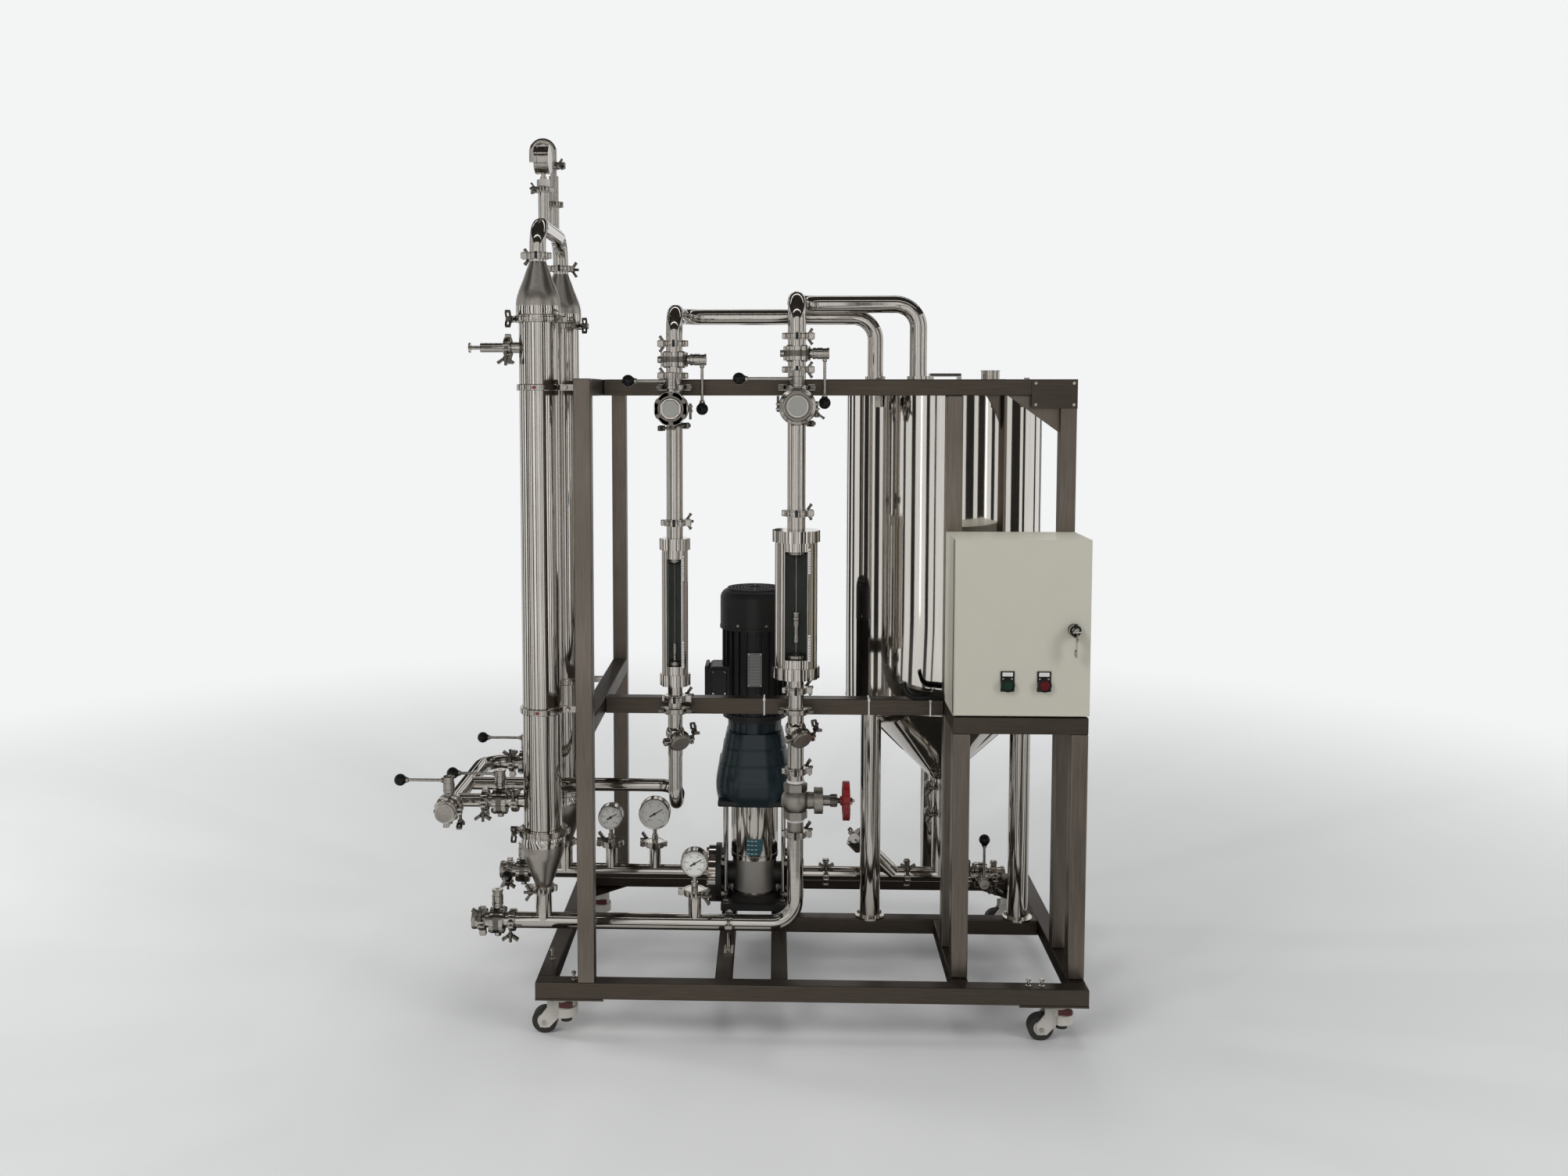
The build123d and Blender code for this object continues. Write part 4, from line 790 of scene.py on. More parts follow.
# the dial's middle, the way it faces, its diameter and what its needle shows, as a share of the scale
gauges = [
    ("front_gauge", (350, 175, 354.5), "front", 63, 0.72),
    ("left_rear_gauge", (111, 515, 356.5), "front", 63, 0.72),
    ("right_rear_gauge", (226, 515, 367), "front", 80, 0.72),
    ("bend_gauge", (-26, 280, 2011), "left", 66, 0.2),
]

for name, spot, faceName, diameter, reading in gauges:
    look = gaugeLook
    face = directions[faceName]
    centre = at(*spot)
    across = face.cross(up) * -1  # the viewer's right
    r = diameter / 2
    maker = Maker()
    maker.turn([(r - 0.2, -6), (r + 0.9, -5), (r + 0.9, 1.2), (r - 0.6, 2.8), (r - look["bezel"], 2.2),
                (r - look["bezel"], 0.1), (r - look["bezel"] - 0.6, 0.1)], centre, face, across, 64)
    maker.turn([(r - 0.4, -30.3), (r + 0.7, -29), (r + 0.7, -26), (r - 0.2, -25)], centre, face, across, 64)
    maker.finish(name + "_bezel", steel["all"], "unit", "polished_steel")
    maker = Maker()
    maker.turn([(0, 0.15), (r - look["bezel"] + 0.3, 0.15), (r - look["bezel"] + 0.3, 0.6), (0, 0.6)],
               centre, face, across, 64)
    maker.finish(name + "_dial", dialWhite, "unit", "polished_steel")
    ink = Maker()
    start = radians(90 + look["sweep"] / 2)
    for i in range(look["ticks"] + 1):
        turn = start - radians(look["sweep"]) * i / look["ticks"]
        out = across * cos(turn) + up * sin(turn)
        long = look["tickLong"] if i % 10 == 0 else look["tickShort"]
        middle = along(along(centre, out, r * 0.80 - long / 2), face, 0.7)
        ink.block((long, 1.4 if i % 10 == 0 else 0.6, 0.2), middle, face, out)
    for i in range(look["figures"] + 1):
        turn = start - radians(look["sweep"]) * i / look["figures"]
        out = across * cos(turn) + up * sin(turn)
        ink.words(str(round(i * 0.2, 1)) if diameter < 70 else str(i), r * 0.18,
                  along(along(centre, out, r * 0.56), face, 0.65), face, across)
    turn = start - radians(look["sweep"]) * reading
    out = across * cos(turn) + up * sin(turn)
    ink.block((r * 0.66, 2.2, 0.3), along(along(centre, out, r * 0.30), face, 1.3), face, out, 0.1)
    ink.block((r * 0.42, 3.6, 0.3), along(along(centre, -out, r * 0.16), face, 1.3), face, out, 0.1)
    ink.rod(7.0, 1.4, along(centre, face, 0.6), face, 18)
    for place in (-0.12, 0.14):
        ink.rod(2.2, 0.4, along(along(centre, down, r * 0.42), across, r * place * 2) + face * 0.0006,
                face, 10, 0.1)
    ink.finish(name + "_marks", inkBlack, "unit", "polished_steel")
print("gauges done")


# flow meters: smoked window, collars, stepped float, ticks and scale strips

glassFinish = Finish("smoked window", Metallic=0.0, IOR=1.45, Transmission_Weight=0.0,
                     Specular_IOR_Level=0.12)
haze = glassFinish.noise((1, 1, 0.2), 18.0, 3.0, 0.5)
glassFinish.put(Base_Color=glassFinish.mix(haze, (0.012, 0.013, 0.011), (0.045, 0.05, 0.042)),
                Roughness=0.04 + haze * 0.06, Alpha=0.14)
smoked = glassFinish.material
# painted shade: a near-black sheet behind each float stands in for the shade inside the meter's case
meterShade = paintFinish("meter inside shade", {"colour": (0.010, 0.014, 0.012), "dusty": (0.05, 0.06, 0.05),
                                         "dust": 0.9, "grain": 90.0, "bump": 0.3, "rough": 0.4, "coat": 0.1})

# name, riser, window's lower and upper ends, case and window widths, float's foot and its size
meters = [
    ("small_meter", leftRiser, 826, 1078, 61, 33, 834, 0.62),
    ("large_meter", rightRiser, 846, 1098, 99, 53, 884, 1.0),
]
meterLook = {"pane": 2.0, "strip": 6.5, "beside": 3.6, "ticks": 20, "collar": 12.0, "backingY": 188.6}
for name, x, low, high, body, window, floatZ, s in meters:
    chord = ((body / 2) ** 2 - (window / 2) ** 2) ** 0.5
    paneY = frontLine - chord + 3.0
    middle = (low + high) / 2
    maker = Maker()
    maker.block((window - 0.6, meterLook["pane"], high - low - 0.6), at(x, paneY + 1, middle), up, right, 0.3)
    maker.finish(name + "_pane", smoked, "unit", "meter_glass")
    maker = Maker()
    # painted shade: the dark backing behind the float
    maker.block((window - 1, 1.2, high - low - 1), at(x, meterLook["backingY"], middle), up, right, 0.2)
    maker.finish(name + "_backing", meterShade, "unit", "black_paint")
    maker = Maker()
    deep = paneY + 3 + 15 * s
    maker.turn([(0, 0), (7 * s, 0), (7.5 * s, 1), (7.5 * s, 16 * s), (6.2 * s, 18 * s), (6.2 * s, 34 * s),
                (8.6 * s, 40 * s), (8.6 * s, 52 * s), (10 * s, 54 * s), (10 * s, 60 * s), (8.4 * s, 61 * s),
                (8.4 * s, 66 * s), (9.6 * s, 67 * s), (9.6 * s, 72 * s), (0, 72 * s)], at(x, deep, floatZ),
               up, right, 32)
    maker.rod(2.4 * s, high - low - 4, at(x, deep, low + 2), up, 12)
    collar = meterLook["collar"]
    for end, way in ((low, up), (high, down)):
        maker.turn([(0, 0.4), (window * 0.40, 0.4), (window * 0.44, 1.4), (window * 0.44, 8),
                    (window * 0.36, collar), (window * 0.2, collar + 4), (0, collar + 4)],
                   at(x, paneY + 3 + window * 0.44, end), way, right, 36)
    maker.finish(name + "_float", steel["z"], "unit", "polished_steel")
    strips = Maker()
    beside = window / 2 + meterLook["beside"]
    stripX = x + window / 2 + meterLook["beside"]
    stripY = frontLine - ((body / 2) ** 2 - beside ** 2) ** 0.5
    face = Vector((beside, stripY - frontLine, 0)).normalized()
    stripSpots = ((high - 22, 58), (low + 28, 62))
    for z, tall in stripSpots:
        strips.block((meterLook["strip"] * (0.7 + 0.3 * s), 0.5, tall),
                     along(at(stripX, stripY, z), face, 0.2), up, up.cross(face), 0.1)
    strips.finish(name + "_strips", legendWhite, "unit", "polished_steel")
    marks = Maker()
    for z, tall in stripSpots:
        for i in range(9):
            spot = at(stripX, stripY, z - tall * 0.4 + tall * 0.1 * i)
            marks.block((2.4 + (i % 3), 0.3, 1.6), along(spot, face, 0.7), up, up.cross(face))
    for i in range(meterLook["ticks"] + 1):
        z = low + 26 + (high - low - 46) * i / meterLook["ticks"]
        marks.block((7 if i % 5 == 0 else 4, 0.3, 0.7), at(x - window * 0.12, paneY - 0.2, z), up, right)
    marks.finish(name + "_marks", inkBlack, "unit", "polished_steel")
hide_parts("meter_windows")
print("flow meters done")


# globe valve: tape on the threads, flats, and the wheel's nut

globeLook = {"high": 505, "tapes": (-46, 46), "flats": (-42, 24), "stemEnd": 687, "nut": 715}
globeSpot = at(rightRiser, frontLine, globeLook["high"])
maker = Maker()
tapes = Maker()
for z in globeLook["tapes"]:
    tapes.turn([(19, -3.4), (20.6, -3.0), (21.2, -1), (20.4, 1), (20.8, 3.0), (19, 3.4), (19, -3.4)],
               at(rightRiser, frontLine, globeLook["high"] + z), up, right, 40)
tapes.finish("thread_tapes", tapeWhite, "unit", "polished_steel")
for z in globeLook["flats"]:
    maker.turn([(20, -0.6), (25.6, 0.2), (27.4, 2.2), (27.4, 15.8), (25.6, 17.8), (20, 18.6)],
               at(rightRiser, frontLine, globeLook["high"] + z), up, right, 6)
maker.turn([(18, 44), (31.4, 44), (31.8, 45.5), (31.8, 49), (30, 50.4), (30, 58), (31.6, 59.5), (31.6, 63),
            (29, 64.6), (12, 65.4)], globeSpot, right, up, 8)
maker.turn([(19, 26), (20.5, 30), (19.6, 44)], globeSpot, right, up, 40)
maker.finish("globe_details", roughCast, "unit", "polished_steel")
maker = Maker()
maker.turn([(6, 60), (12.6, 60.5), (12.6, 81), (15, 82), (15.6, 84), (15.6, 96), (14.4, 98.4), (6.4, 98.6)],
           globeSpot, right, up, 6)
maker.rod(12.8, 12, at(globeLook["stemEnd"], frontLine, globeLook["high"]), right, 20)
maker.finish("globe_gland", steelFinish("dark gland", "all", dict(satin, rough=0.25)), "unit",
             "polished_steel")
maker = Maker()
maker.prism(9.5, 7, at(globeLook["nut"], frontLine, globeLook["high"]), right, up)
maker.rod(7, 13, at(globeLook["nut"] - 1, frontLine, globeLook["high"]), right, 16)
maker.finish("wheel_nut", steel["all"], "handwheel", "red_paint")
print("globe valve done")


# pump and motor

pumpLook = {"grilleRings": 7, "spokes": 12, "bandTall": 15.0, "plate": (36, 86), "plateX": 1,
            "plateHigh": 763, "flange": 210, "flangeBolts": 58,
            "ledges": ((553, 162.4), (512, 183.0), (470, 196.4))}
patchLook = {"radius": 61.0, "low": 279, "row": 11, "rows": 4}


def onPump(x, y, z):
    # millimetres from the pump's axis and the floor
    return at(pumpSpot[0] + x, pumpSpot[1] + y, z)


maker = Maker()
maker.block((185.6, 185.6, pumpLook["bandTall"]), onPump(0, 0, 418), up, right, 4.0)
maker.turn([(60, 619), (70.4, 620), (70.4, 629), (60, 630)], onPump(0, 0, 0), up, right, 60)
maker.finish("hood_band", castBlack, "unit", "black_paint")
maker = Maker()
for z, hoodWide in pumpLook["ledges"]:
    maker.block((hoodWide, hoodWide, 6.0), onPump(0, 0, z), up, right, 0.0, 2, hoodWide * 0.34)
maker.finish("hood_ledges", hoodTeal, "unit", "hood_paint")
maker = Maker()
for z, r in ((268.5, 61.8), (262, 59.4), (172, 57.6), (408, 61.6)):
    maker.turn([(r - 3, -2.2), (r, -1.8), (r, 1.8), (r - 3, 2.2), (r - 3, -2.2)], onPump(0, 0, z),
               up, right, 72)
for sx in (-75, 75):
    for sy in (-40, 40):
        bolt(maker, onPump(sx, sy, 166), up, 9.0, 3)
maker.finish("sleeve_rings", steel["all"], "unit", "polished_steel")
maker = Maker()
maker.turn([(56.4, 172), (57.0, 173), (57.0, 261), (56.4, 262)], onPump(0, 0, 0), up, right, 72)
bellSatin = dict(bell, dark=(0.60, 0.57, 0.53), light=(0.84, 0.81, 0.76), rough=0.34)
maker.finish("chamber_band", steelFinish("chamber satin", "all", bellSatin), "unit", "polished_steel")
labelFace = Maker()
patches = Maker()
r = patchLook["radius"]
for row in range(patchLook["rows"]):
    z = patchLook["low"] + row * patchLook["row"]
    for column in range(4 if row == 0 else 5):
        turn = radians(-105 + column * 8.0)
        out = Vector((cos(turn), sin(turn), 0))
        labelFace.block((8.4, 10.2, 0.4), onPump(out.x * r, out.y * r, z), out, out.cross(up) * -1, 0.3)
    for column in range(3):
        turn = radians(-104 + column * 9)
        out = Vector((cos(turn), sin(turn), 0))
        patches.block((5.8, 1.8, 0.3), onPump(out.x * (r + 0.35), out.y * (r + 0.35), z), out,
                      out.cross(up) * -1)
labelFace.finish("sleeve_patch", labelBlue, "unit", "polished_steel")
patches.finish("sleeve_patch_bars", legendWhite, "unit", "polished_steel")
maker = Maker()
for i in range(pumpLook["grilleRings"]):
    r = 18 + i * 8.6
    maker.turn([(r - 1.4, 960.2), (r - 1.4, 962.4), (r + 1.4, 962.4), (r + 1.4, 960.2)], onPump(0, 0, 0),
               up, right, 48)
for i in range(pumpLook["spokes"]):
    turn = 2 * pi * i / pumpLook["spokes"]
    out = Vector((cos(turn), sin(turn), 0))
    maker.block((56, 2.6, 2.4), onPump(out.x * 43, out.y * 43, 961.4), up, out, 0.4)
maker.turn([(87, 858.6), (90.2, 859), (90.2, 866), (89.2, 867)], onPump(0, 0, 0), up, right, 72)
maker.block((10, 92, 84), onPump(-123, 0, 722), up, right, 4.0)
maker.block((40, 6, 66), onPump(-91, -47, 722), up, right, 2.2)
maker.turn([(9, 0), (13, 0), (13, 5), (10, 6), (10, 16), (7, 18)], onPump(-91, 0, 681), down, right, 24)
maker.finish("motor_details", motorBlack, "unit", "black_paint")
maker = Maker()
for turn in (-70, -118, -20, 160, 70, 115):
    out = Vector((cos(radians(turn)), sin(radians(turn)), 0))
    maker.rod(8, 2.0, onPump(out.x * 88.4, out.y * 88.4, 874), out, 16, 0.6)
for z in (694, 750):
    for x in (-106, -76):
        maker.rod(5.5, 1.6, onPump(x, -50, z), front, 14, 0.4)
maker.finish("motor_screws", steel["all"], "unit", "black_paint")
maker = Maker()
wide, tall = pumpLook["plate"]
plateX = pumpLook["plateX"]
plateZ = pumpLook["plateHigh"]
maker.block((wide, 1.0, tall), onPump(plateX, -86.8, plateZ), up, right, 0.4)
maker.finish("blank_plate", platePale, "unit", "black_paint")
maker = Maker()
for edge in (-1, 1):
    maker.block((0.8, 0.5, tall - 6), onPump(plateX + edge * (wide / 2 - 3), -87.4, plateZ), up, right)
    maker.block((wide - 6, 0.5, 0.8), onPump(plateX, -87.4, plateZ + edge * (tall / 2 - 3)), up, right)
for i in range(9):
    maker.block((wide - 6, 0.5, 0.6), onPump(plateX, -87.4, plateZ + (i - 4) * 8.0), up, right)
maker.finish("plate_lines", inkBlack, "unit", "black_paint")
maker = Maker()
for sx in (-1, 1):
    for sz in (-1, 1):
        corner = onPump(plateX + sx * (wide / 2 - 3), -87.2, plateZ + sz * (tall / 2 - 3))
        maker.rod(3.4, 1.2, corner, front, 12, 0.3)
maker.finish("plate_rivets", steel["all"], "unit", "black_paint")
maker = Maker()
for sx in (-1, 1):
    for sy in (-1, 1):
        bolt(maker, onPump(sx * 72, sy * 72, 154), up, 9.0)
    for i in range(4):
        turn = pi / 4 + i * pi / 2
        y = pumpLook["flangeBolts"] * cos(turn)
        z = pumpLook["flange"] + pumpLook["flangeBolts"] * sin(turn)
        bolt(maker, onPump(sx * 118, y, z), right * sx, 11.0)
        bolt(maker, onPump(sx * 86, y, z), right * -sx, 11.0)
maker.finish("pump_bolts", steel["all"], "unit", "black_paint")
print("pump done")


# tank: rims, toggle clips, handle; strainer tag on the suction line

tankLook = {"rim": 248.0, "clips": (45, 135, 225, 315), "clipOut": 251, "stubX": 1084}
strainerLook = {"foot": (848, rearLine, 210), "reach": 108}
maker = Maker()
middle = at(*tankSpot, 0)
maker.turn([(244, 1479), (246, 1480), (tankLook["rim"], 1484), (tankLook["rim"], 1490), (246, 1493.5),
            (241, 1494.4), (241, 1491)], middle, up, right, 128)
maker.turn([(244.6, 683), (245.9, 684.4), (245.9, 687.6), (244.6, 689)], middle, up, right, 128)
for turn in tankLook["clips"]:
    out = Vector((cos(radians(turn)), sin(radians(turn)), 0))
    side = up.cross(out)
    foot = along(middle, out, tankLook["clipOut"])
    maker.block((7, 20, 36), along(foot, up, 1448), up, out, 1.6)
    maker.block((4, 13, 44), along(along(foot, out, 5), up, 1452), (up + out * 0.12).normalized(), out, 1.2)
    for edge in (8, -8):
        maker.rod(3.2, 42, along(along(foot, side, edge), up, 1456), up, 12)
    maker.rod(3.2, 20, along(along(foot, side, -10), up, 1497), side, 12)
maker.turn([(19.6, 1495), (22.9, 1495), (22.9, 1516), (24.4, 1516.4), (24.4, 1519), (19.6, 1519)],
           at(tankLook["stubX"], rearLine, 0), up, right, 40)
maker.finish("tank_rims", steel["all"], "unit", "polished_steel")
maker = Maker()
maker.block((81, 21, 8.4), at(970, rearLine, 1507.6), up, right, 3.2)
maker.finish("lid_handle", knobBlack, "unit", "polished_steel")
maker = Maker()
slope = Vector((-1, 0, 1)).normalized()
foot = along(at(*strainerLook["foot"]), slope, strainerLook["reach"])
maker.turn([(20, 34), (24, 34.4), (24, 37.5), (0, 37.5)], foot, slope, back, 8)
tag = Maker()
tag.turn([(0, 0), (11.6, 0), (12.4, 0.8), (12.4, 3.6), (11.4, 4.4), (9.6, 4.4), (9.2, 3.8), (0, 3.8)],
         along(along(foot, slope, 36), front, 25), front, up, 32)
tag.finish("strainer_tag", legendWhite, "unit", "polished_steel")
maker.rod(5, 26, along(along(foot, slope, 24), front, 26), (up + right * 0.6).normalized(), 12)
wingNut(maker, along(along(foot, slope, 38), back, 4), slope, back, 0.9)
maker.finish("strainer_details", steel["all"], "unit", "polished_steel")
print("tank done")


# cabinet: painted shade in the gap round the door, button plates and bezels, lock and keys

cabinetLook = {"legend": (23, 9), "faceY": 50, "buttonHigh": 814, "lock": (1203, 938)}
buttonX = {"start": 1057, "stop": 1138}
lockX, lockZ = cabinetLook["lock"]
trim = Maker()
# painted shade: dark strips behind the door's lower and left edges stand in for the shade in the gap round
# the door
trim.block((300.4, 1.6, 3.4), at(1089.5, 71.2, 741.0), up, right, 0.3)
trim.block((3.0, 1.4, 392), at(939.2, 71.0, 940), up, right, 0.3)
for x in buttonX.values():
    trim.block((31.0, 2.6, 16.2), at(x, 49.0, 836.5), up, right, 0.5)
    trim.block((31.0, 2.6, 3.6), at(x, 49.0, 800.4), up, right, 0.5)
    for edge in (-13.4, 13.4):
        trim.block((4.2, 2.6, 28.0), at(x + edge, 49.0, 815.4), up, right, 0.5)
    trim.turn([(11.2, 11.6), (15.0, 11.2), (15.6, 8), (15.6, 0), (11.2, 0), (11.2, 11.6)],
              at(x, cabinetLook["faceY"], cabinetLook["buttonHigh"]), front, up, 40)
trim.turn([(8, 14.6), (12.6, 14.6), (14.4, 12.4), (14.4, 0), (8, 0), (8, 14.6)],
          at(lockX, cabinetLook["faceY"], lockZ), front, up, 40)
trim.block((7, 2, 30), at(lockX, 34.6, lockZ), up, right, 0.8)
trim.finish("cabinet_trim_and_gap_shade", knobBlack, "door", "cabinet_paint")
plates = Maker()
for x in buttonX.values():
    plates.block((cabinetLook["legend"][0], 1.2, cabinetLook["legend"][1]), at(x, 47.2, 837.5),
                 up, right, 0.3)
plates.finish("legend_plates", legendWhite, "door", "cabinet_paint")
edge = Maker()
edge.block((300.6, 21.0, 2.2), at(1089.5, 60.2, 1137.4), up, right, 0.8)
for x in (940.2, 1238.8):
    edge.block((2.2, 21.0, 394), at(x, 60.2, 941), up, right, 0.8)
edge.finish("door_edges", cabinetGrey, "door", "cabinet_paint")
for name, material, slotName in (("start", buttonGreen, "green_plastic"), ("stop", buttonRed, "red_plastic")):
    maker = Maker()
    maker.turn([(0, 14.6), (8.6, 14.4), (10.6, 13.2), (10.9, 11.6), (10.9, 4), (0, 4)],
               at(buttonX[name], cabinetLook["faceY"], cabinetLook["buttonHigh"]), front, up, 40)
    maker.finish(name + "_cap", material, name, slotName)
maker = Maker()
maker.turn([(0, 0), (7, 0), (8.4, 1.2), (8.4, 3), (7, 4), (0, 4)], at(lockX, 24, 890), left, up, 28)
maker.turn([(9, -1), (11, -1), (11, 1), (9, 1), (9, -1)], at(lockX, 20, 926), right, up, 32)
maker.block((2.2, 7, 26), at(lockX, 20, 905), up, right, 0.6)
maker.finish("hanging_key", steel["all"], "key", "key_steel")
print("cabinet done")


# casters: cover, thumbwheel, screws, levelling pad and hub cover

# how far the wheel trails the swivel, its axle's height, and the thumbwheel's ribs
casterLook = {"trail": 42, "axle": 29, "ribs": 6}
corners = {"front_left": (56, 56), "front_right": (1184, 56), "rear_left": (56, 692),
           "rear_right": (1184, 692)}
for corner, (x, y) in corners.items():
    body = "fork_" + corner
    wheelBody = "wheel_" + corner
    white = Maker()
    axle = at(x - casterLook["trail"], y, casterLook["axle"])
    white.turn([(20, 94.9), (28.6, 94), (28.6, 84), (27.6, 82), (28.6, 80), (28.6, 66), (26, 64.5)],
               at(x, y, 0), up, right, 48)
    for side in (front, back):
        face = along(axle, side, 20)
        white.turn([(0, 1.2), (8, 1.2), (9.4, 0.2), (9.4, -1), (0, -1)], face, side, up, 32)
        white.block((30, 1.8, 26), along(at(x - 20, y, 66), side, 20.4), up,
                    (right + up * 0.9).normalized(), 0.7)
    white.finish("caster_cover_" + corner, casterWhite, body, "caster_housing")
    red = Maker()
    for side in (front, back):
        red.block((32, 5, 15), along(at(x + 9, y, 73), side, 26.4), up, right, 2.0)
        for i in range(casterLook["ribs"]):
            red.block((1.6, 1.4, 13), along(at(x - 3 + i * 4.6, y, 73), side, 29.2), up, right, 0.4)
    red.finish("caster_thumbwheel_" + corner, casterRed, body, "caster_housing")
    screws = Maker()
    for side in (front, back):
        screws.prism(5.2, 3, along(axle, side, 21), side, up)
        screws.rod(8, 1.4, along(at(x - 12, y, 84), side, 20.4), side, 16, 0.4)
    screws.turn([(0, 0), (17, 0), (17, 4), (13, 6), (0, 6)], at(x, y, 95), down, right, 24)
    screws.finish("caster_screws_" + corner, steel["all"], body, "caster_housing")
    foot = Maker()
    foot.turn([(0, 26), (11, 26), (12.6, 27.5), (12.6, 34), (11.6, 36), (0, 36)], at(x + 7, y, 0),
              up, right, 32)
    foot.finish("caster_pad_" + corner, tyreBlack, body, "caster_housing")
    hub = Maker()
    for side in (front, back):
        face = along(axle, side, 13)
        hub.turn([(5, 1.0), (12, 1.3), (15.6, 0.8), (17, -0.6), (5, -0.6)], face, side, up, 40)
    hub.finish("caster_hub_" + corner, casterWhite, wheelBody, "caster_tyre")
print("casters done")


# conduit on the middle rail, cable ties, corner joints of the table top, cover plate screws

railLook = {"conduit": 16.0, "tie": 3.6, "ties": (514, 762, 907)}
maker = Maker()
maker.wire([at(842, 226, 778), at(846, 222, 764), at(856, 221, 752), at(872, 222, 747), at(905, 222, 747),
            at(936, 224, 747)], railLook["conduit"], 5)
maker.finish("rail_conduit", knobBlack, "unit", "black_paint")
ties = Maker()
for x in railLook["ties"]:
    ties.block((railLook["tie"], 1.2, 42), at(x, 229.2, 719), up, right, 0.4)
    ties.block((railLook["tie"], 40, 1.2), at(x, 249, 738.6), up, right, 0.4)
    ties.block((6, 4, 7), at(x, 227.6, 736), up, right, 1.0)
ties.finish("rail_ties", legendWhite, "unit", "frame_steel")
joints = Maker()
for x, sx in ((939, 1), (1240, -1)):
    for y, sy in ((55, 1), (268, -1)):
        joints.block((52, 1.0, 0.5), at(x + sx * 19, y + sy * 19, 738.1), up, Vector((sx, sy, 0)))
for x in (97, 135):
    joints.block((0.9, 38, 0.5), at(x, 19, 137.9), up, right)
joints.finish("joint_lines", splitShadeJointDark, "unit", "frame_steel")
screws = Maker()
for x in (1143, 1231):
    for z in (1435, 1485):
        screws.rod(8, 1.8, at(x, 227, z), front, 18, 0.6)
screws.finish("cover_screws", steel["all"], "unit", "frame_steel")
print("rails done")


# camera, lamps, floor

cameraLook = {"spot": (539.53, -3005.91, 1464.92), "pitch": 0.0705, "yaw": -0.0335, "focal": 1765.09,
              "image": (2006, 1504), "centre": (933.15, 625.71)}
wide, tall = cameraLook["image"]
lens = bpy.data.cameras.new("camera")
lens.sensor_fit = "HORIZONTAL"
lens.sensor_width = 36.0
lens.lens = cameraLook["focal"] / wide * lens.sensor_width
lens.shift_x = (wide / 2 - cameraLook["centre"][0]) / wide
lens.shift_y = (cameraLook["centre"][1] - tall / 2) / wide
camera = bpy.data.objects.new("camera", lens)
camera.location = at(*cameraLook["spot"])
camera.rotation_euler = (pi / 2 - cameraLook["pitch"], 0, -cameraLook["yaw"])
scene.collection.objects.link(camera)
scene.camera = camera

# place, size, height and power of each softbox
lampLook = {
    "key softbox": ((-2.2, -3.2, 3.4), 1.6, 2.2, 75),
    "right softbox": ((3.2, -2.2, 2.2), 0.9, 2.4, 38),
    "left strip": ((-3.4, 0.6, 1.6), 0.5, 2.6, 36),
    "overhead": ((0.2, 0.2, 4.2), 2.4, 2.4, 42),
    "rear softbox": ((0.6, 3.6, 2.6), 1.6, 1.6, 35),
}
for name, (spot, size, high, power) in lampLook.items():
    light = bpy.data.lights.new(name, "AREA")
    light.shape = "RECTANGLE"
    light.size = size
    light.size_y = high
    light.energy = power
    holder = bpy.data.objects.new(name, light)
    holder.location = spot
    holder.visible_glossy = False
    aim = Vector((0, 0, 0)) if name == "overhead" else Vector((0, 0, 1.0))
    holder.rotation_euler = (aim - Vector(spot)).to_track_quat("-Z", "Y").to_euler()
    scene.collection.objects.link(holder)

worldLook = {"shown": (0.90, 0.905, 0.91), "lit": (0.9, 0.92, 0.95), "strength": 0.36}
world = bpy.data.worlds.new("studio")
scene.world = world
world.use_nodes = True
tree = world.node_tree
tree.nodes.clear()
out = tree.nodes.new("ShaderNodeOutputWorld")
shown = tree.nodes.new("ShaderNodeBackground")
shown.inputs["Color"].default_value = (*worldLook["shown"], 1)
shown.inputs["Strength"].default_value = 1.0
lit = tree.nodes.new("ShaderNodeBackground")
lit.inputs["Color"].default_value = (*worldLook["lit"], 1)
lit.inputs["Strength"].default_value = worldLook["strength"]
path = tree.nodes.new("ShaderNodeLightPath")
either = tree.nodes.new("ShaderNodeMath")
either.operation = "MAXIMUM"
tree.links.new(path.outputs["Is Camera Ray"], either.inputs[0])
tree.links.new(path.outputs["Is Glossy Ray"], either.inputs[1])
both = tree.nodes.new("ShaderNodeMath")
both.operation = "MAXIMUM"
tree.links.new(either.outputs[0], both.inputs[0])
tree.links.new(path.outputs["Is Transmission Ray"], both.inputs[1])
blend = tree.nodes.new("ShaderNodeMixShader")
tree.links.new(both.outputs[0], blend.inputs[0])
tree.links.new(lit.outputs[0], blend.inputs[1])
tree.links.new(shown.outputs[0], blend.inputs[2])
tree.links.new(blend.outputs[0], out.inputs[0])

floorLook = {"size": 14.0, "fadeFrom": 1.0, "fadeTo": 4.6}
floorFinish = Finish("studio floor", Roughness=0.75)
wear = floorFinish.noise((1, 1, 1), 1.6, 3.0, 0.5)
fromMiddle = floorFinish.add("ShaderNodeVectorMath", {"operation": "LENGTH"}, {0: floorFinish.where()}, 1)
fade = floorFinish.add("ShaderNodeMapRange", {"interpolation_type": "SMOOTHSTEP"},
                       {"Value": fromMiddle, "From Min": floorLook["fadeFrom"],
                        "From Max": floorLook["fadeTo"], "To Min": 1.0, "To Max": 0.0})
floorFinish.put(Base_Color=floorFinish.mix(wear, (0.66, 0.66, 0.655), (0.71, 0.71, 0.705)), Alpha=fade)


def studioPiece(name, shape, material):
    # a mesh that belongs to the studio, not to the part
    mesh = bpy.data.meshes.new(name)
    shape.to_mesh(mesh)
    shape.free()
    mesh.materials.append(material)
    piece = bpy.data.objects.new(name, mesh)
    scene.collection.objects.link(piece)
    return piece


grid = bmesh.new()
bmesh.ops.create_grid(grid, x_segments=4, y_segments=4, size=floorLook["size"])
floor = studioPiece("studio_floor", grid, floorFinish.material)
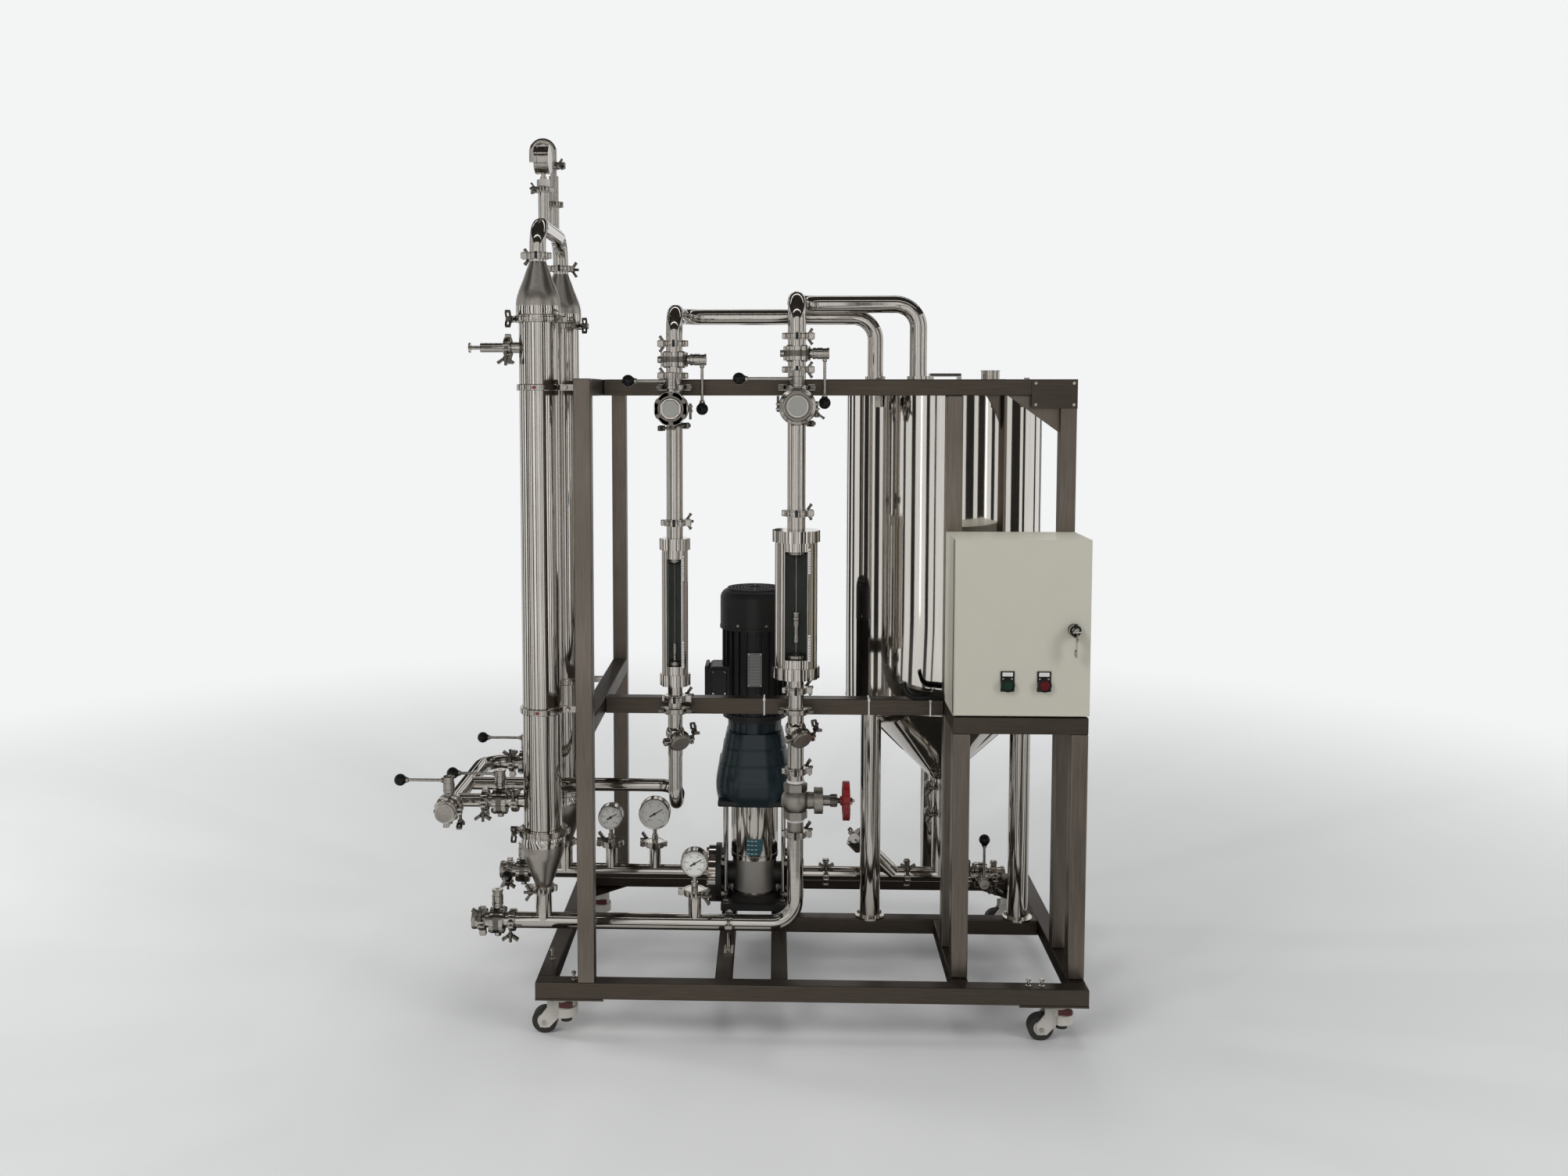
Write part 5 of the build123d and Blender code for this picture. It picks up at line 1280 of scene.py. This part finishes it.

# dark flags round, over and under the studio, seen only in the steel; the card under the unit is painted
# shadow
flagFinish = Finish("studio flag", Roughness=0.9)
cloth = flagFinish.mix(flagFinish.noise((1, 1, 1), 2.0), (0.020, 0.018, 0.015), (0.050, 0.044, 0.037))
flagFinish.put(Base_Color=cloth)

# each upright flag, with a strip on the floor that carries it on: its turn and its width in degrees
flagLook = {"away": 5.2, "high": 3.8, "near": 1.15, "ceiling": 4.5, "ceilingWide": 12.0}
flagSpots = [(356, 13), (9, 4), (33, 4), (54, 7), (65, 8), (78, 6), (90, 3), (102, 6), (115, 9),
             (128, 6), (147, 5), (160, 9), (180, 8), (198, 9), (210, 6), (221, 3),
             (233, 5), (251, 4), (260, 2), (277, 2), (286, 3), (299, 9), (312, 8), (326, 4), (340, 6)]

# the bright strips: upright ones at their turns, and overhead ones at their depth and width
stripLook = {"turns": (191, 243, 318, 336), "wide": 0.16, "away": 5.0, "high": 1.7, "overhead": 4.3,
             "strength": 1.6}
overheadStrips = [(-2.3, 260), (2.0, 420)]
flags = Maker()
for turn, spread in flagSpots:
    out = Vector((cos(radians(turn)), sin(radians(turn)), 0))
    away = flagLook["away"] * 1000
    near = flagLook["near"] * 1000
    half = sin(radians(spread / 2))
    middle = out * flagLook["away"] + up * flagLook["high"] / 2
    flags.block((flagLook["high"] * 1000, away * half * 2, 20), middle, out, up)
    flags.plate([(near, -half * near), (away, -half * away), (away, half * away), (near, half * near)], 3,
                Vector((0, 0, 0.003)), up, out)
ceilingWide = flagLook["ceilingWide"] * 1000
flags.block((ceilingWide, ceilingWide, 20), Vector((0, 0, flagLook["ceiling"])))
# painted shadow: a dark card on the floor under the unit, seen only in the steel, stands in for the unit's
# shadow there
flags.block((2000, 600, 3), Vector((0, 0.05, 0.0045)))  # on the floor, under the unit
strips = Maker()
for turn in stripLook["turns"]:
    out = Vector((cos(radians(turn)), sin(radians(turn)), 0))
    strips.block((3200, stripLook["wide"] * 1000, 12),
                 out * stripLook["away"] + up * stripLook["high"], out, up)
for y, wideStrip in overheadStrips:
    strips.block((7000, wideStrip, 12), Vector((0, y, stripLook["overhead"])))
stripFinish = Finish("studio strip", Roughness=0.6, Emission_Strength=stripLook["strength"])
glow = stripFinish.mix(stripFinish.noise((1, 1, 1), 2.0), (0.92, 0.93, 0.95), (1.0, 1.0, 1.0))
stripFinish.put(Base_Color=glow, Emission_Color=glow)
stripCards = studioPiece("studio_strips", strips.bm, stripFinish.material)
flagCards = studioPiece("studio_flags", flags.bm, flagFinish.material)
for card in (flagCards, stripCards):
    card.visible_camera = False
    card.visible_diffuse = False
    card.visible_transmission = False
    card.visible_shadow = False
print("studio ready")
